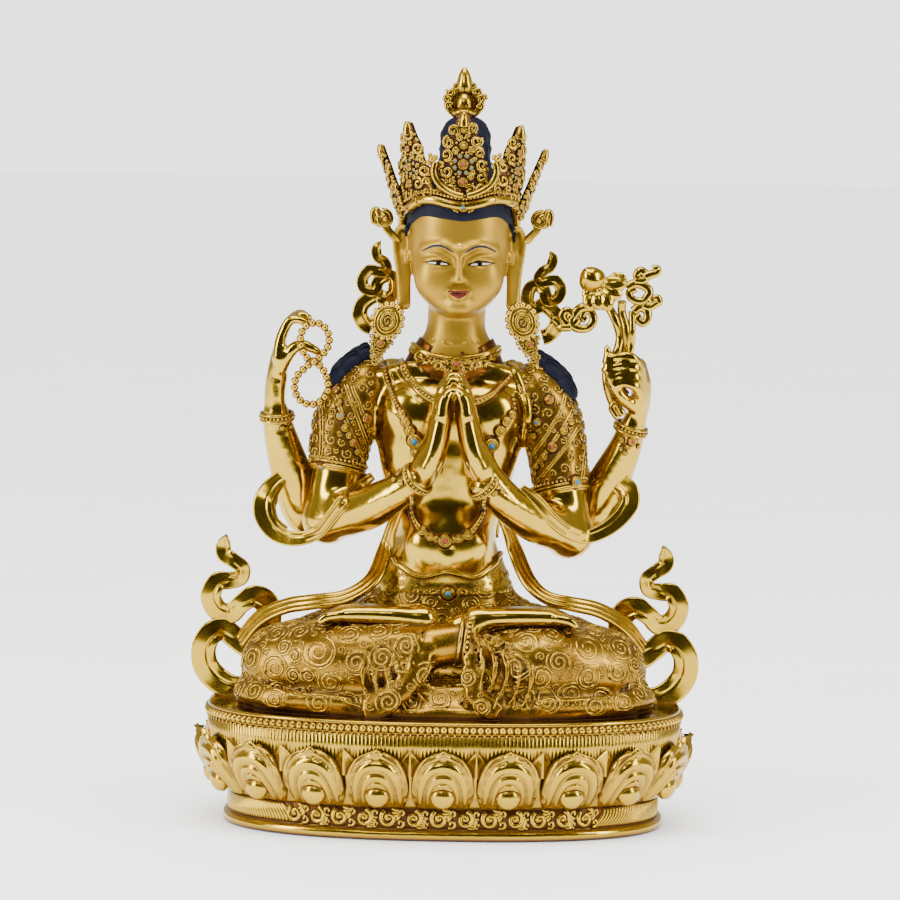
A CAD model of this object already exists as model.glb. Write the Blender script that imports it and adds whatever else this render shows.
"""Seated four-armed Avalokiteshvara on a lotus throne, fire-gilt copper set with small stones."""

import math

import bpy
import numpy as np
from mathutils import Matrix, Vector
from mathutils.bvhtree import BVHTree


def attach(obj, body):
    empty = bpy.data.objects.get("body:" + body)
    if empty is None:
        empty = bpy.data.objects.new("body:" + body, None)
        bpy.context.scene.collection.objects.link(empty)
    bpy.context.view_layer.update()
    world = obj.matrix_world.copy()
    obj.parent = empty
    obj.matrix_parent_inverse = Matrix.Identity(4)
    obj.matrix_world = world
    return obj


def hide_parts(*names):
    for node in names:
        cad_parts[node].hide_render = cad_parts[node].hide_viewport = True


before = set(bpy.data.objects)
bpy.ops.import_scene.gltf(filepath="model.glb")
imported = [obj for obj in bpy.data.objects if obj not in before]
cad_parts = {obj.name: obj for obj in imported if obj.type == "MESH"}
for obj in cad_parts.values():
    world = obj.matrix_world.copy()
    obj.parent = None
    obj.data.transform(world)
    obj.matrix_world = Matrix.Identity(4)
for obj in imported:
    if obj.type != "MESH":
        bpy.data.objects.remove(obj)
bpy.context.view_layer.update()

# The place to view from
# The statue stands on a pale table and is seen from two metres away, a little above its head.
# The camera is a hair out of level. All making below is in millimetres, above the table.

EYE = np.array((0.5, -2000.0, 330.0))
EYE_LENS = 161.2
EYE_TILT = math.radians(4.15)
EYE_ROLL = math.radians(1.05)
SENSOR_WIDTH, FRAME_WIDTH = 36, 900

eye_turn = Matrix.Rotation(math.radians(90) - EYE_TILT, 4, "X") @ Matrix.Rotation(EYE_ROLL, 4, "Z")
camera = bpy.data.objects.new("camera", bpy.data.cameras.new("camera"))
camera.data.lens = EYE_LENS
camera.data.sensor_width = SENSOR_WIDTH
camera.matrix_world = Matrix.Translation(Vector(EYE / 1000)) @ eye_turn
bpy.context.scene.collection.objects.link(camera)
bpy.context.scene.camera = camera


def unit(way):
    """The same direction, with a length of one."""
    return np.asarray(way) / np.linalg.norm(way)


def sight(column, row):
    """The direction from the camera through a point of its frame."""
    focal = EYE_LENS / SENSOR_WIDTH * FRAME_WIDTH
    across, up = (column - FRAME_WIDTH / 2) / focal, (FRAME_WIDTH / 2 - row) / focal
    return unit(np.array(eye_turn.to_3x3()) @ np.array((across, up, -1)))


def plane_spot(column, row, y):
    """The place in the upright plane at depth y that the camera sees at a point of its frame."""
    way = sight(column, row)
    return EYE + way * ((y - EYE[1]) / way[1])


# The lotus throne
# An oval casting in copper, raised over a foot with a scroll band, ringed by a wreath of lotus
# petals, a fluted fringe and a row of beads. It is chased, gilded over fire and polished on the
# high parts, while the hollows keep a red-brown patina.

PLAN_HALF = (117.25, 76.8)
PLAN_POWER = 2.4
PETALS = 20
PETAL_LOW, PETAL_TIP, PETAL_HALF = 16.4, 45.8, 15.6
BEAD_HEIGHT, BEAD_RADIUS, BEAD_PITCH = 55.1, 1.75, 3.55
FLUTE_PITCH = 1.9


class Shapes:
    """Shells of points and four-cornered faces, gathered for one piece; share and rise place them on
    the table."""

    def __init__(self, share=1.0, rise=0.0):
        self.points, self.faces, self.count = [], [], 0
        self.share, self.rise = share, rise

    def add(self, points, faces):
        self.points.append(np.asarray(points, float).reshape(-1, 3))
        self.faces.append(np.asarray(faces, int).reshape(-1, 4) + self.count)
        self.count += len(self.points[-1])


def grid_faces(rows, columns, wrap_rows=False, wrap_columns=False):
    """Faces of a net of points, which may close on itself either way."""
    r = np.arange(rows if wrap_rows else rows - 1)[:, None]
    c = np.arange(columns if wrap_columns else columns - 1)[None, :]
    r1, c1 = (r + 1) % rows, (c + 1) % columns
    corners = [r * columns + c, r * columns + c1, r1 * columns + c1, r1 * columns + c]
    return np.stack([np.broadcast_to(k, (len(r), c.shape[1])) for k in corners], -1).reshape(-1, 4)


def make(name, shapes, material, slot, *nodes):
    """Turns gathered shells into a smooth-shaded piece that rides with the statue."""
    points = (np.concatenate(shapes.points) * shapes.share + (0, 0, shapes.rise)) / 1000
    faces = np.concatenate(shapes.faces)
    mesh = bpy.data.meshes.new(name)
    mesh.vertices.add(len(points))
    mesh.vertices.foreach_set("co", points.astype(np.float32).ravel())
    mesh.loops.add(faces.size)
    mesh.loops.foreach_set("vertex_index", faces.astype(np.int32).ravel())
    mesh.polygons.add(len(faces))
    mesh.polygons.foreach_set("loop_start", np.arange(0, faces.size, 4, dtype=np.int32))
    mesh.update(calc_edges=True)
    mesh.validate()
    mesh.shade_smooth()
    mesh.materials.append(material)
    made = bpy.data.objects.new(name, mesh)
    bpy.context.scene.collection.objects.link(made)
    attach(made, "root")
    if nodes:
        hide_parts(*nodes)
    return made


def colour(code):
    """An sRGB hex colour as linear red, green, blue and alpha."""
    parts = [int(code[i:i + 2], 16) / 255 for i in (1, 3, 5)]
    return (*[p / 12.92 if p <= 0.04045 else ((p + 0.055) / 1.055) ** 2.4 for p in parts], 1)


def add(tree, kind, settings=None, links=None, stops=()):
    """Adds a node with its settings, values or links for its sockets, and (place, colour) stops if it
    has any."""
    node = tree.nodes.new(kind)
    for name, value in (settings or {}).items():
        setattr(node, name, value)
    for number, (place, tint) in enumerate(stops):
        points = node.color_ramp.elements
        point = points[number] if number < 2 else points.new(place)
        point.position, point.color = place, tint
    for name, value in (links or {}).items():
        if isinstance(value, bpy.types.NodeSocket):
            tree.links.new(value, node.inputs[name])
        else:
            node.inputs[name].default_value = value
    return node


def blank(name):
    """A new material, with its tree, its shader and the piece's own coordinates, in metres."""
    made = bpy.data.materials.new(name)
    made.use_nodes = True
    tree = made.node_tree
    return made, tree, tree.nodes["Principled BSDF"], add(tree, "ShaderNodeTexCoord").outputs["Object"]


def fire_gilding(name, bright, deep, patina, depth_mm, rough, worn, hollow=0.55):
    """Mercury-fired gold on copper: mirror-like where it is burnished, with red-brown patina that stays in
    hollows narrower than depth_mm. Its tone drifts over 22 mm. The casting's skin is never quite even, so
    highlights waver over 9 mm, and the burnisher leaves marks about 0.6 mm apart."""
    made, tree, shader, place = blank(name)
    cloud = add(tree, "ShaderNodeTexNoise", links={"Vector": place, "Scale": 1000 / 22, "Detail": 3.0})
    waver = add(tree, "ShaderNodeTexNoise", links={"Vector": place, "Scale": 1000 / 9, "Detail": 1.0})
    marks = add(tree, "ShaderNodeTexNoise", links={"Vector": place, "Scale": 1000 / 0.6, "Detail": 2.0})
    shelter = add(tree, "ShaderNodeAmbientOcclusion", {"samples": 6}, {"Distance": depth_mm / 1000})
    hue = add(tree, "ShaderNodeMix", {"data_type": "RGBA"},
              {0: cloud.outputs["Fac"], 6: colour(deep), 7: colour(bright)}).outputs[2]
    open_part = add(tree, "ShaderNodeMapRange", {"interpolation_type": "SMOOTHSTEP"},
                    {0: shelter.outputs["AO"], 1: hollow - 0.3, 2: min(0.98, hollow + 0.3)}).outputs[0]
    tint = add(tree, "ShaderNodeMix", {"data_type": "RGBA"}, {0: open_part, 6: colour(patina), 7: hue})
    tree.links.new(tint.outputs[2], shader.inputs["Base Color"])
    metal = add(tree, "ShaderNodeMapRange", links={0: open_part, 3: 0.45, 4: 1.0})
    tree.links.new(metal.outputs[0], shader.inputs["Metallic"])
    grain = add(tree, "ShaderNodeMapRange", links={0: marks.outputs["Fac"], 1: 0.3, 2: 0.7, 3: rough,
            4: rough + worn})
    matt = add(tree, "ShaderNodeMapRange", links={0: open_part, 3: 0.28, 4: 0.0})
    both = add(tree, "ShaderNodeMath", {"operation": "ADD"}, {0: grain.outputs[0], 1: matt.outputs[0]})
    tree.links.new(both.outputs[0], shader.inputs["Roughness"])
    swell = add(tree, "ShaderNodeBump", links={"Height": waver.outputs["Fac"], "Strength": 0.5,
            "Distance": 0.0005})
    fine = add(tree, "ShaderNodeBump", links={"Height": marks.outputs["Fac"], "Strength": 0.12,
            "Distance": 0.00004,
                                              "Normal": swell.outputs["Normal"]})
    tree.links.new(fine.outputs["Normal"], shader.inputs["Normal"])
    return made


# Lacquer wiped over the gilding dries red-brown and dull in the sunk ground. The chased parts are burnished
# on their high sides only, and the smooth seat is burnished all over, so it mirrors most.
ground_lacquer = fire_gilding("gilding_under_red_brown_lacquer", "#6E4414", "#4A270B", "#260C05", 2.0,
        0.28, 0.14, 0.74)
throne_gilding = fire_gilding("throne_fire_gilding", "#C4A434", "#A88220", "#4A1B0A", 3.6, 0.14, 0.08, 0.66)
seat_gilding = fire_gilding("burnished_seat_gilding", "#C2A232", "#A48022", "#6B3416", 2.4, 0.12, 0.06,
                            0.44)


def plan_wall():
    """The oval plan, walked from the middle of the front: places, outward ways and lengths."""
    turn = np.linspace(0, 2 * np.pi, 2881) - np.pi / 2
    c, s = np.cos(turn), np.sin(turn)
    x = PLAN_HALF[0] * np.abs(c) ** (2 / PLAN_POWER) * np.sign(c)
    y = PLAN_HALF[1] * np.abs(s) ** (2 / PLAN_POWER) * np.sign(s)
    walked = np.concatenate([[0], np.cumsum(np.hypot(np.diff(x), np.diff(y)))])
    even = np.linspace(0, walked[-1], 1441)
    x, y = np.interp(even, walked, x), np.interp(even, walked, y)
    tx = np.roll(x[:-1], -4) - np.roll(x[:-1], 4)
    ty = np.roll(y[:-1], -4) - np.roll(y[:-1], 4)
    size = np.hypot(tx, ty)
    ox, oy = ty / size, -tx / size
    return even, x, y, np.append(ox, ox[0]), np.append(oy, oy[0])


wall_walk, wall_x, wall_y, wall_ox, wall_oy = plan_wall()
WALL_LENGTH = wall_walk[-1]


def wall(along, out, height):
    """Places on the throne's side: mm along from the front's middle, mm outwards, mm above the table."""
    along, out, height = np.broadcast_arrays(np.asarray(along, float) % WALL_LENGTH, out, height)
    x, y, ox, oy = (np.interp(along, wall_walk, v) for v in (wall_x, wall_y, wall_ox, wall_oy))
    return np.stack([x + ox * out, y + oy * out, height], -1)


def wall_out(along):
    """The outward ways at places on the throne's side."""
    along = np.asarray(along, float) % WALL_LENGTH
    out = np.stack([np.interp(along, wall_walk, wall_ox), np.interp(along, wall_walk, wall_oy), 0 * along],
                   -1)
    return out / np.linalg.norm(out, axis=-1, keepdims=True)


def turned_wall(shapes, profile, columns=300, flutes=None):
    """A wall of the plan's shape with a profile of (out, height) from the bottom up."""
    along = np.arange(columns) / columns * WALL_LENGTH
    rows = [wall(along, out + (flutes(along) if flutes else 0), height) for out, height in profile]
    shapes.add(np.array(rows), grid_faces(len(rows), columns, wrap_columns=True))


def curve(points, steps=6, closed=False):
    """A smooth line through the given points, which may carry a radius or more as further numbers."""
    p = np.asarray(points, float)
    p = np.concatenate([p[-1:], p, p[:2]]) if closed else np.concatenate([p[:1], p, p[-1:]])
    a, b, c, d = p[:-3, None], p[1:-2, None], p[2:-1, None], p[3:, None]
    t = (np.arange(steps) / steps)[None, :, None]
    line = 0.5 * (2 * b + (c - a) * t + (2 * a - 5 * b + 4 * c - d) * t**2 + (3 * b - a - 3 * c + d) * t**3)
    line = line.reshape(-1, p.shape[1])
    return line if closed else np.concatenate([line, p[-2:-1]])


def sweep(shapes, path, radius, normal=(0, -1, 0), flat=1.0, sides=8, closed=False):
    """A wire or band along a path. Flat is its thickness over its width, seen along the normal."""
    path = np.asarray(path, float)
    radius = np.broadcast_to(np.asarray(radius, float), len(path))
    if closed:
        run = np.roll(path, -1, 0) - np.roll(path, 1, 0)
    else:
        run = np.gradient(path, axis=0)
        path = np.concatenate([path[:1], path, path[-1:]])
        run = np.concatenate([run[:1], run, run[-1:]])
        radius = np.concatenate([[radius[0] * 0.02], radius, [radius[-1] * 0.02]])
        normal = np.asarray(normal, float)
        if normal.ndim == 2:
            normal = np.concatenate([normal[:1], normal, normal[-1:]])
    run = run / np.maximum(np.linalg.norm(run, axis=1, keepdims=True), 1e-9)
    side = np.cross(run, normal)
    side = side / np.maximum(np.linalg.norm(side, axis=1, keepdims=True), 1e-9)
    up = np.cross(side, run)
    turn = np.arange(sides) / sides * 2 * np.pi
    across, rise = np.cos(turn), np.sin(turn) * flat
    rings = (path[:, None] + side[:, None] * (across[None, :, None] * radius[:, None, None])
             + up[:, None] * (rise[None, :, None] * radius[:, None, None]))
    shapes.add(rings, grid_faces(len(path), len(across), wrap_rows=closed, wrap_columns=True))


def ball_net(columns, rows):
    """A ball's net of points, one in radius, and its faces."""
    down = np.linspace(0.02, np.pi - 0.02, rows)[:, None]
    turn = (np.arange(columns) / columns * 2 * np.pi)[None, :]
    net = np.stack([np.sin(down) * np.cos(turn), np.sin(down) * np.sin(turn), np.cos(down) + 0 * turn], -1)
    return net.reshape(-1, 3), grid_faces(rows, columns, wrap_columns=True)


def studs(shapes, places, radius, out=None, tall=1.0, long=1.0, along=None, columns=10, rows=6):
    """Small balls or domes at many places; tall is their height over the skin, long their stretch along."""
    places = np.asarray(places, float).reshape(-1, 3)
    net, faces = ball_net(columns, rows)
    radius = np.broadcast_to(np.asarray(radius, float), len(places))
    out = np.broadcast_to(np.asarray((0, -1, 0) if out is None else out, float), places.shape)
    out = out / np.linalg.norm(out, axis=1, keepdims=True)
    guide = np.broadcast_to(np.asarray((0.01, 0.02, 1) if along is None else along, float), places.shape)
    side = np.cross(guide, out)
    side = side / np.maximum(np.linalg.norm(side, axis=1, keepdims=True), 1e-9)
    along = np.cross(out, side)
    balls = (side[:, None] * net[None, :, :1] + along[:, None] * net[None, :, 1:2] * long
             + out[:, None] * net[None, :, 2:] * tall) * radius[:, None, None] + places[:, None]
    for first in range(len(places)):
        shapes.add(balls[first], faces)


# The throne's body: foot flange, band, the wall behind the petals, the seat and its raised lip.
body = Shapes()
profile = [(-30, 0.02), (-9, 0), (-7.9, 0.3), (-7.5, 1), (-7.5, 3.4), (-8, 4.2), (-9.4, 4.6), (-10.6, 4.8),
           (-10.9, 5.3), (-10.9, 15.2),
           (-10.4, 15.5), (-9.4, 16.6), (-7.6, 20), (-5, 26), (-2.6, 33), (-0.8, 40), (0, 42), (0, 52.2),
           (-0.4, 53), (-0.4, 56.4),
           (0.2, 57.1), (0.5, 57.8), (0.1, 58.5), (-0.8, 58.7), (-2, 58.6), (-2.6, 58.2)]
turned_wall(body, profile)
make("throne_casting", body, throne_gilding, "chased_gilt_copper", "lotus_throne")

seat = Shapes()
along = np.arange(240) / 240 * WALL_LENGTH
edge = wall(along, -2.5, 58.2)
rings = [edge * (k, k, 1) + (0, 0, 0.2 * (1 - k)) for k in (1, 0.97, 0.8, 0.6, 0.4, 0.2, 0.01)]
seat.add(np.array(rings), grid_faces(len(rings), 240, wrap_columns=True))
base = wall(along, -29, 0.1)
rings = [base * (k, k, 1) for k in (0.01, 0.4, 0.8, 1.0)]
seat.add(np.array(rings), grid_faces(len(rings), 240, wrap_columns=True))
make("throne_seat_and_base_plate", seat, seat_gilding, "chased_gilt_copper")

fringe = Shapes()
flutes = round(WALL_LENGTH / FLUTE_PITCH)
turned_wall(fringe, [(-0.6, 40), (0.1, 40.5), (0.25, 46), (0.35, 52), (-0.3, 52.7)], columns=flutes * 4,
            flutes=lambda s: 0.42 * np.abs(np.sin(np.pi * s / WALL_LENGTH * flutes)) ** 0.8)
drops = round(WALL_LENGTH / BEAD_PITCH)
places = (np.arange(drops) + 0.5) / drops * WALL_LENGTH
studs(fringe, wall(places, 0.8, 52.5), 0.62, wall_out(places), long=1.7, columns=8, rows=5)
sweep(fringe, wall(np.arange(480) / 480 * WALL_LENGTH, 0.55, 53.3), 0.42, closed=True, normal=(0, 0, 1),
      sides=6)
make("throne_fringe", fringe, throne_gilding, "chased_gilt_copper")

beads = Shapes()
places = np.arange(drops) / drops * WALL_LENGTH
studs(beads, wall(places, 0.25, BEAD_HEIGHT), BEAD_RADIUS * 1.16, wall_out(places), long=1.05, columns=10,
      rows=6)
make("throne_bead_row", beads, throne_gilding, "chased_gilt_copper")


def petal(shapes, middle):
    """One lotus petal: a bowed shell under a pointed arch, with a double rim, a broad swelling, an inner
    tongue and, low down under its drooping cap, the ball that it holds."""
    rise, across = np.meshgrid(np.linspace(0, 1, 28), np.linspace(-1, 1, 39), indexing="ij")
    height = PETAL_TIP - PETAL_LOW - 1.6
    half_width = PETAL_HALF * np.clip(1 - np.clip(rise / 1.02, 0, 1) ** 4, 0,
            1) ** 0.56 * (0.9 + 0.1 * np.clip(rise / 0.3, 0, 1))
    x = across * half_width
    z = PETAL_LOW + height * rise + 1.8 * np.exp(-(x / 2.2) ** 2) * rise**4

    def arch(wide, tall):
        """Grows from 0 at the petal's foot line to 1 on an arch of this width and height."""
        return (np.abs(x) / wide) ** 2.5 + (np.clip(z - PETAL_LOW, 0, None) / tall) ** 2.5

    def ridge(form, at_one, wide, tall):
        return tall * np.exp(-((form**0.4 - at_one) / wide) ** 2)

    whole = arch(PETAL_HALF, 29.0)
    out = -8.4 + 9.3 * np.sin(np.clip(rise * 1.25 + 0.03, 0, 1)
                              * np.pi / 2) ** 0.8 + 5.2 * np.sin(np.clip(rise * 1.05, 0, 1) * np.pi * 0.55)
    out = out - 1.9 * (np.abs(x) / PETAL_HALF) ** 2.2 + 1.3 * np.exp(-(x / 2.4) ** 2) * np.clip(rise - 0.8,
            0, 1) / 0.2
    tongue = arch(8.6, 17.5)
    out = out + ridge(tongue, 0.86, 0.13, 1.4) - ridge(tongue, 1.05, 0.06, 1.4)
    out = out + ridge(whole, 0.72, 0.12, 1.5) - ridge(whole, 0.855, 0.026, 1.2) + ridge(whole, 0.89, 0.02,
            0.5)
    out = out - ridge(whole, 0.925, 0.02, 1.0) + ridge(whole, 0.972, 0.028, 0.8)
    out = out - np.clip(np.abs(across) - 0.965, 0, 1) * 90 - np.clip(rise - 0.985, 0, 1) * 120
    shapes.add(wall(middle + x, out, z), grid_faces(*rise.shape))
    ball = wall(middle, -1.7, PETAL_LOW + 5.9)
    studs(shapes, ball, 6.4, wall_out(middle) + (0, 0, -0.25), tall=0.72, long=0.95, columns=20, rows=12)
    cap = np.linspace(-1, 1, 15)
    for lift, thick in ((0, 1.7), (1.2, 1.3)):
        bow = wall(middle + cap * (6.2 - lift), 2.6 + lift - 3.0 * cap**2,
                   PETAL_LOW + 12.0 + lift * 0.5 - (3.6 - lift) * np.abs(cap) ** 1.6)
        sweep(shapes, bow, thick * (1 - 0.75 * np.abs(cap) ** 1.5), wall_out(middle + cap * 5.4), flat=0.8)


def back_petal(shapes, middle):
    """The keeled tip of a petal of the second row, which shows between two front petals."""
    rise, across = np.meshgrid(np.linspace(0, 1, 12), np.linspace(-1, 1, 21), indexing="ij")
    x = across * 8.6 * np.clip(1 - rise**1.5, 0, 1)
    out = 2.6 + 1.6 * rise - 0.75 * np.abs(x) ** 0.8 + 0.9 * np.exp(-((np.abs(across)
            - 0.86) / 0.08) ** 2) * (1 - rise)
    shapes.add(wall(middle + x, out - np.clip(np.abs(across) - 0.93, 0, 1) * 40,
                    PETAL_LOW + 16 + 12.8 * rise), grid_faces(*rise.shape))


petals = Shapes()
pitch = WALL_LENGTH / PETALS
for number in range(PETALS):
    back_petal(petals, (number + 0.5) * pitch)
    petal(petals, number * pitch)
make("throne_petals", petals, throne_gilding, "chased_gilt_copper")


def spiral(turns, size, spin=1, start=0.0, samples=26, inner=0.12):
    """A flat curl, from its eye outwards, as (across, up) places in mm."""
    t = np.linspace(0, 1, samples)
    angle = start + spin * t * turns * 2 * np.pi
    reach = size * (inner + (1 - inner) * t)
    return np.stack([reach * np.cos(angle), reach * np.sin(angle)], 1)


# The scroll band: fat curls and leaf fans over a lacquered ground, and combed feathers at the ends.
ground = Shapes()
turned_wall(ground, [(-11, 5.1), (-10.7, 5.4), (-10.7, 15.1), (-11, 15.4)])
make("throne_band_ground", ground, ground_lacquer, "chased_gilt_copper")

band = Shapes()
vines = round(WALL_LENGTH / 12.6 / 2) * 2
for number in range(vines):
    middle = number * WALL_LENGTH / vines
    x, y, _ = wall(middle, 0, 0)
    if abs(x) > 84:
        lean = 1 if (x > 0) == (y < 0) else -1
        for comb in range(6):
            t = np.linspace(0, 1, 9)
            s = middle + (comb - 2.5) * WALL_LENGTH / vines / 6 + lean * (6.5 * t - 3.2) + 1.6 * np.sin(t
                    * np.pi)
            sweep(band, wall(s, -10.5, 5.8 + 9.2 * t), 0.75 + 0.55 * np.sin(t * np.pi), wall_out(s),
                  flat=0.8, sides=7)
        continue
    flip = 1 if number % 2 else -1
    for turns, size, at, high, wire in ((1.35, 4.3, -1.4, 10.2, 1.45),
            (1.0, 2.3, 4.6, 10.3 + flip * 2.4, 0.95), (0.9, 1.7, 4.9, 10.3 - flip * 3.0, 0.8)):
        curl = spiral(turns, size, spin=flip, start=flip * 0.6 + at, samples=19, inner=0.2)
        s, z = middle + at + curl[:, 0], high + curl[:, 1]
        sweep(band, wall(s, -10.3, np.clip(z, 6, 14.9)), np.linspace(0.75, 1.0, len(s)) * wire,
              wall_out(s), flat=0.75, sides=5)
    studs(band, wall(middle - 1.4, -10.2, 10.2), 1.3, wall_out(middle), columns=10, rows=7)
    for k in range(4):
        turn = flip * (2.1 + k * 0.42)
        leaf = np.linspace(1.5, 5.6, 6)
        s, z = middle + 5.4 + leaf * math.cos(turn), 10.2 - flip * 3.6 + leaf * math.sin(turn)
        sweep(band, wall(s, -10.4, np.clip(z, 5.9, 15)), 0.35 + 0.75 * np.sin(np.linspace(0.3, 3, 6)),
              wall_out(s), flat=0.8, sides=7)
make("throne_scroll_band", band, throne_gilding, "chased_gilt_copper")


# The crossed legs in their garment
# The figure sits with both feet turned up on the thighs, on a thin cloth. The legs are one casting with
# the hips, modelled in wax: the garment is drawn tight over them and chased all over with curls.

FIGURE_SHARE = 0.9969
FIGURE_RISE = 59.0


def on_seat():
    """Shells for a piece of the figure, which is modelled in mm above the seat at its nominal height."""
    return Shapes(FIGURE_SHARE, FIGURE_RISE)


class Clay:
    """A solid kept as distances on a grid of cells, into which rounded forms are blended."""

    def __init__(self, low, high, cell):
        self.cell = cell
        self.axes = [np.arange(a, b + cell, cell, dtype=np.float32) for a, b in zip(low, high)]
        self.field = np.full([len(axis) for axis in self.axes], 6.0, np.float32)

    def window(self, low, high):
        """The part of the grid between two corners."""
        spans = tuple(slice(max(0, int((a - axis[0]) / self.cell)),
                            max(0, int((b - axis[0]) / self.cell) + 2))
                      for a, b, axis in zip(low, high, self.axes))
        return spans, np.meshgrid(*(axis[span] for axis, span in zip(self.axes, spans)), indexing="ij",
                                  sparse=True)

    def join(self, spans, distance, blend, cut=False):
        """Adds a form, or cuts it away, with a fillet of about the blend's width."""
        here = -self.field[spans] if cut else self.field[spans]
        near = np.maximum(blend - np.abs(here - distance), 0) / blend
        merged = np.minimum(here, distance) - near * near * blend / 4
        self.field[spans] = -merged if cut else merged

    def limb(self, stations, blend=2.0, steps=4, flat=None, cut=False):
        """A rounded rod through (x, y, h, radius); flat is a direction and the share of thickness left
        along it."""
        path = curve(stations, steps).astype(np.float32)
        reach = path[:, 3].max() + blend + 2 * self.cell
        spans, (x, y, z) = self.window(path[:, :3].min(0) - reach, path[:, :3].max(0) + reach)
        best = np.full([x.shape[0], y.shape[1], z.shape[2]], 99, np.float32)
        if flat is not None:
            n, share = unit(flat[0]), flat[1]
        for a, b in zip(path[:-1], path[1:]):
            way, p = b[:3] - a[:3], [x - a[0], y - a[1], z - a[2]]
            if flat is not None:
                lift = (p[0] * n[0] + p[1] * n[1] + p[2] * n[2]) * (1 / share - 1)
                p = [p[k] + lift * n[k] for k in range(3)]
                way = way + n * (way @ n) * (1 / share - 1)
            t = np.clip((p[0] * way[0] + p[1] * way[1] + p[2] * way[2]) / (way @ way + 1e-9), 0, 1)
            far = np.sqrt((p[0] - t * way[0]) ** 2 + (p[1] - t * way[1]) ** 2 + (p[2] - t * way[2]) ** 2)
            best = np.minimum(best, far - (a[3] + t * (b[3] - a[3])))
        self.join(spans, best.astype(np.float32), blend, cut)

    def ball(self, centre, radii, blend=2.0, turn=0.0, cut=False):
        """An ellipsoid; turn is its tilt in the viewer's plane."""
        radii = np.broadcast_to(np.asarray(radii, float), 3)
        reach = radii.max() + blend + 2 * self.cell
        spans, (x, y, z) = self.window(np.array(centre) - reach, np.array(centre) + reach)
        x, y, z = x - centre[0], y - centre[1], z - centre[2]
        u, w = x * math.cos(turn) - z * math.sin(turn), x * math.sin(turn) + z * math.cos(turn)
        size = np.sqrt((u / radii[0]) ** 2 + (y / radii[1]) ** 2 + (w / radii[2]) ** 2)
        slope = np.sqrt((u / radii[0] ** 2) ** 2 + (y / radii[1] ** 2) ** 2
                        + (w / radii[2] ** 2) ** 2) + 1e-6
        self.join(spans, (size * (size - 1) / slope).astype(np.float32), blend, cut)

    def stack(self, sections, blend=2.0, power=2.2):
        """A trunk through flat sections (h, x, y, half width, half depth)."""
        line = curve(sections, 8)
        wide = line[:, 3].max() + 8
        spans, (x, y, z) = self.window((line[:, 1].min() - wide, line[:, 2].min() - wide, line[0, 0] - 8),
                                       (line[:, 1].max() + wide, line[:, 2].max() + wide, line[-1, 0] + 8))
        cx, cy, rx, ry = (np.interp(z, line[:, 0], line[:, k]) for k in (1, 2, 3, 4))
        size = (np.abs((x - cx) / rx) ** power + np.abs((y - cy) / ry) ** power) ** (1 / power)
        side = (size - 1) * np.minimum(rx, ry)
        ends = np.maximum(line[0, 0] - z, z - line[-1, 0])
        self.join(spans, np.maximum(side, ends).astype(np.float32), blend)

    def skin(self, smooth=3):
        """The surface where the clay ends: one point in every cell that it passes, joined across the
        edges that cells share, then relaxed without shrinking."""
        field, inside = self.field, self.field < 0
        cells = np.array(field.shape) - 1
        corners = [np.array((i, j, k)) for i in (0, 1) for j in (0, 1) for k in (0, 1)]
        filled = sum(inside[c[0]:c[0] + cells[0], c[1]:c[1] + cells[1],
                            c[2]:c[2] + cells[2]].astype(np.int8) for c in corners)
        active = (filled > 0) & (filled < 8)
        number = np.full(cells, -1)
        number[active] = np.arange(active.sum())
        spots = np.argwhere(active)
        total, crossings = np.zeros((len(spots), 3)), np.zeros((len(spots), 1))
        faces = []
        for axis in range(3):
            step = np.eye(3, dtype=int)[axis]
            for corner in corners:
                if corner[axis]:
                    continue
                a, b = field[tuple((spots + corner).T)], field[tuple((spots + corner + step).T)]
                cross = (a < 0) != (b < 0)
                share = np.where(cross, a / np.where(cross, a - b, 1), 0)
                total += np.where(cross[:, None], corner + share[:, None] * step, 0)
                crossings += cross[:, None]
            ahead = np.roll(inside, -1, axis)
            changed = inside != ahead
            u, v = (axis + 1) % 3, (axis + 2) % 3
            for side, cut_to in ((axis, slice(-1, None)), (u, slice(0, 1)), (u, slice(-1, None)),
                                 (v, slice(0, 1)), (v, slice(-1, None))):
                index = [slice(None)] * 3
                index[side] = cut_to
                changed[tuple(index)] = False
            edges = np.argwhere(changed)
            back_u, back_v = np.eye(3, dtype=int)[u], np.eye(3, dtype=int)[v]
            quad = np.stack([number[tuple((edges - d).T)]
                             for d in (back_u + back_v, back_v, 0 * back_u, back_u)], 1)
            out = inside[tuple(edges.T)]
            faces.append(np.where(out[:, None], quad, quad[:, ::-1]))
        points = (spots + total / crossings) * self.cell + [axis[0] for axis in self.axes]
        used, faces = np.unique(np.concatenate(faces), return_inverse=True)
        points, faces = points[used], faces.reshape(-1, 4)
        a = np.concatenate([faces[:, k] for k in range(4)])
        b = np.concatenate([faces[:, (k + 1) % 4] for k in range(4)])
        degree = np.bincount(a, minlength=len(points))[:, None]
        for amount in (0.6, -0.62) * smooth:
            mean = np.stack([np.bincount(a, points[b, k], len(points)) for k in range(3)], 1) / degree
            points = points + (mean - points) * amount
        return Skin(points, faces)


class Skin:
    """A finished surface, on which ornaments are laid."""

    def __init__(self, points, faces):
        self.points, self.faces = points, faces
        self.tree = BVHTree.FromPolygons(points.tolist(), faces.tolist())

    def under(self, column, row):
        """The place and outward way on the surface that the camera sees at a point of its frame."""
        eye = (EYE - (0, 0, FIGURE_RISE)) / FIGURE_SHARE
        place, out, _, _ = self.tree.ray_cast(eye, sight(column, row))
        return None if place is None else (np.array(place), np.array(out))

    def near(self, place):
        """The nearest place on the surface, and its outward way."""
        found, out, _, _ = self.tree.find_nearest(place)
        return np.array(found), np.array(out)

    def model(self):
        """The surface as shells for a piece of its own."""
        shapes = on_seat()
        shapes.add(self.points, self.faces)
        return shapes


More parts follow.
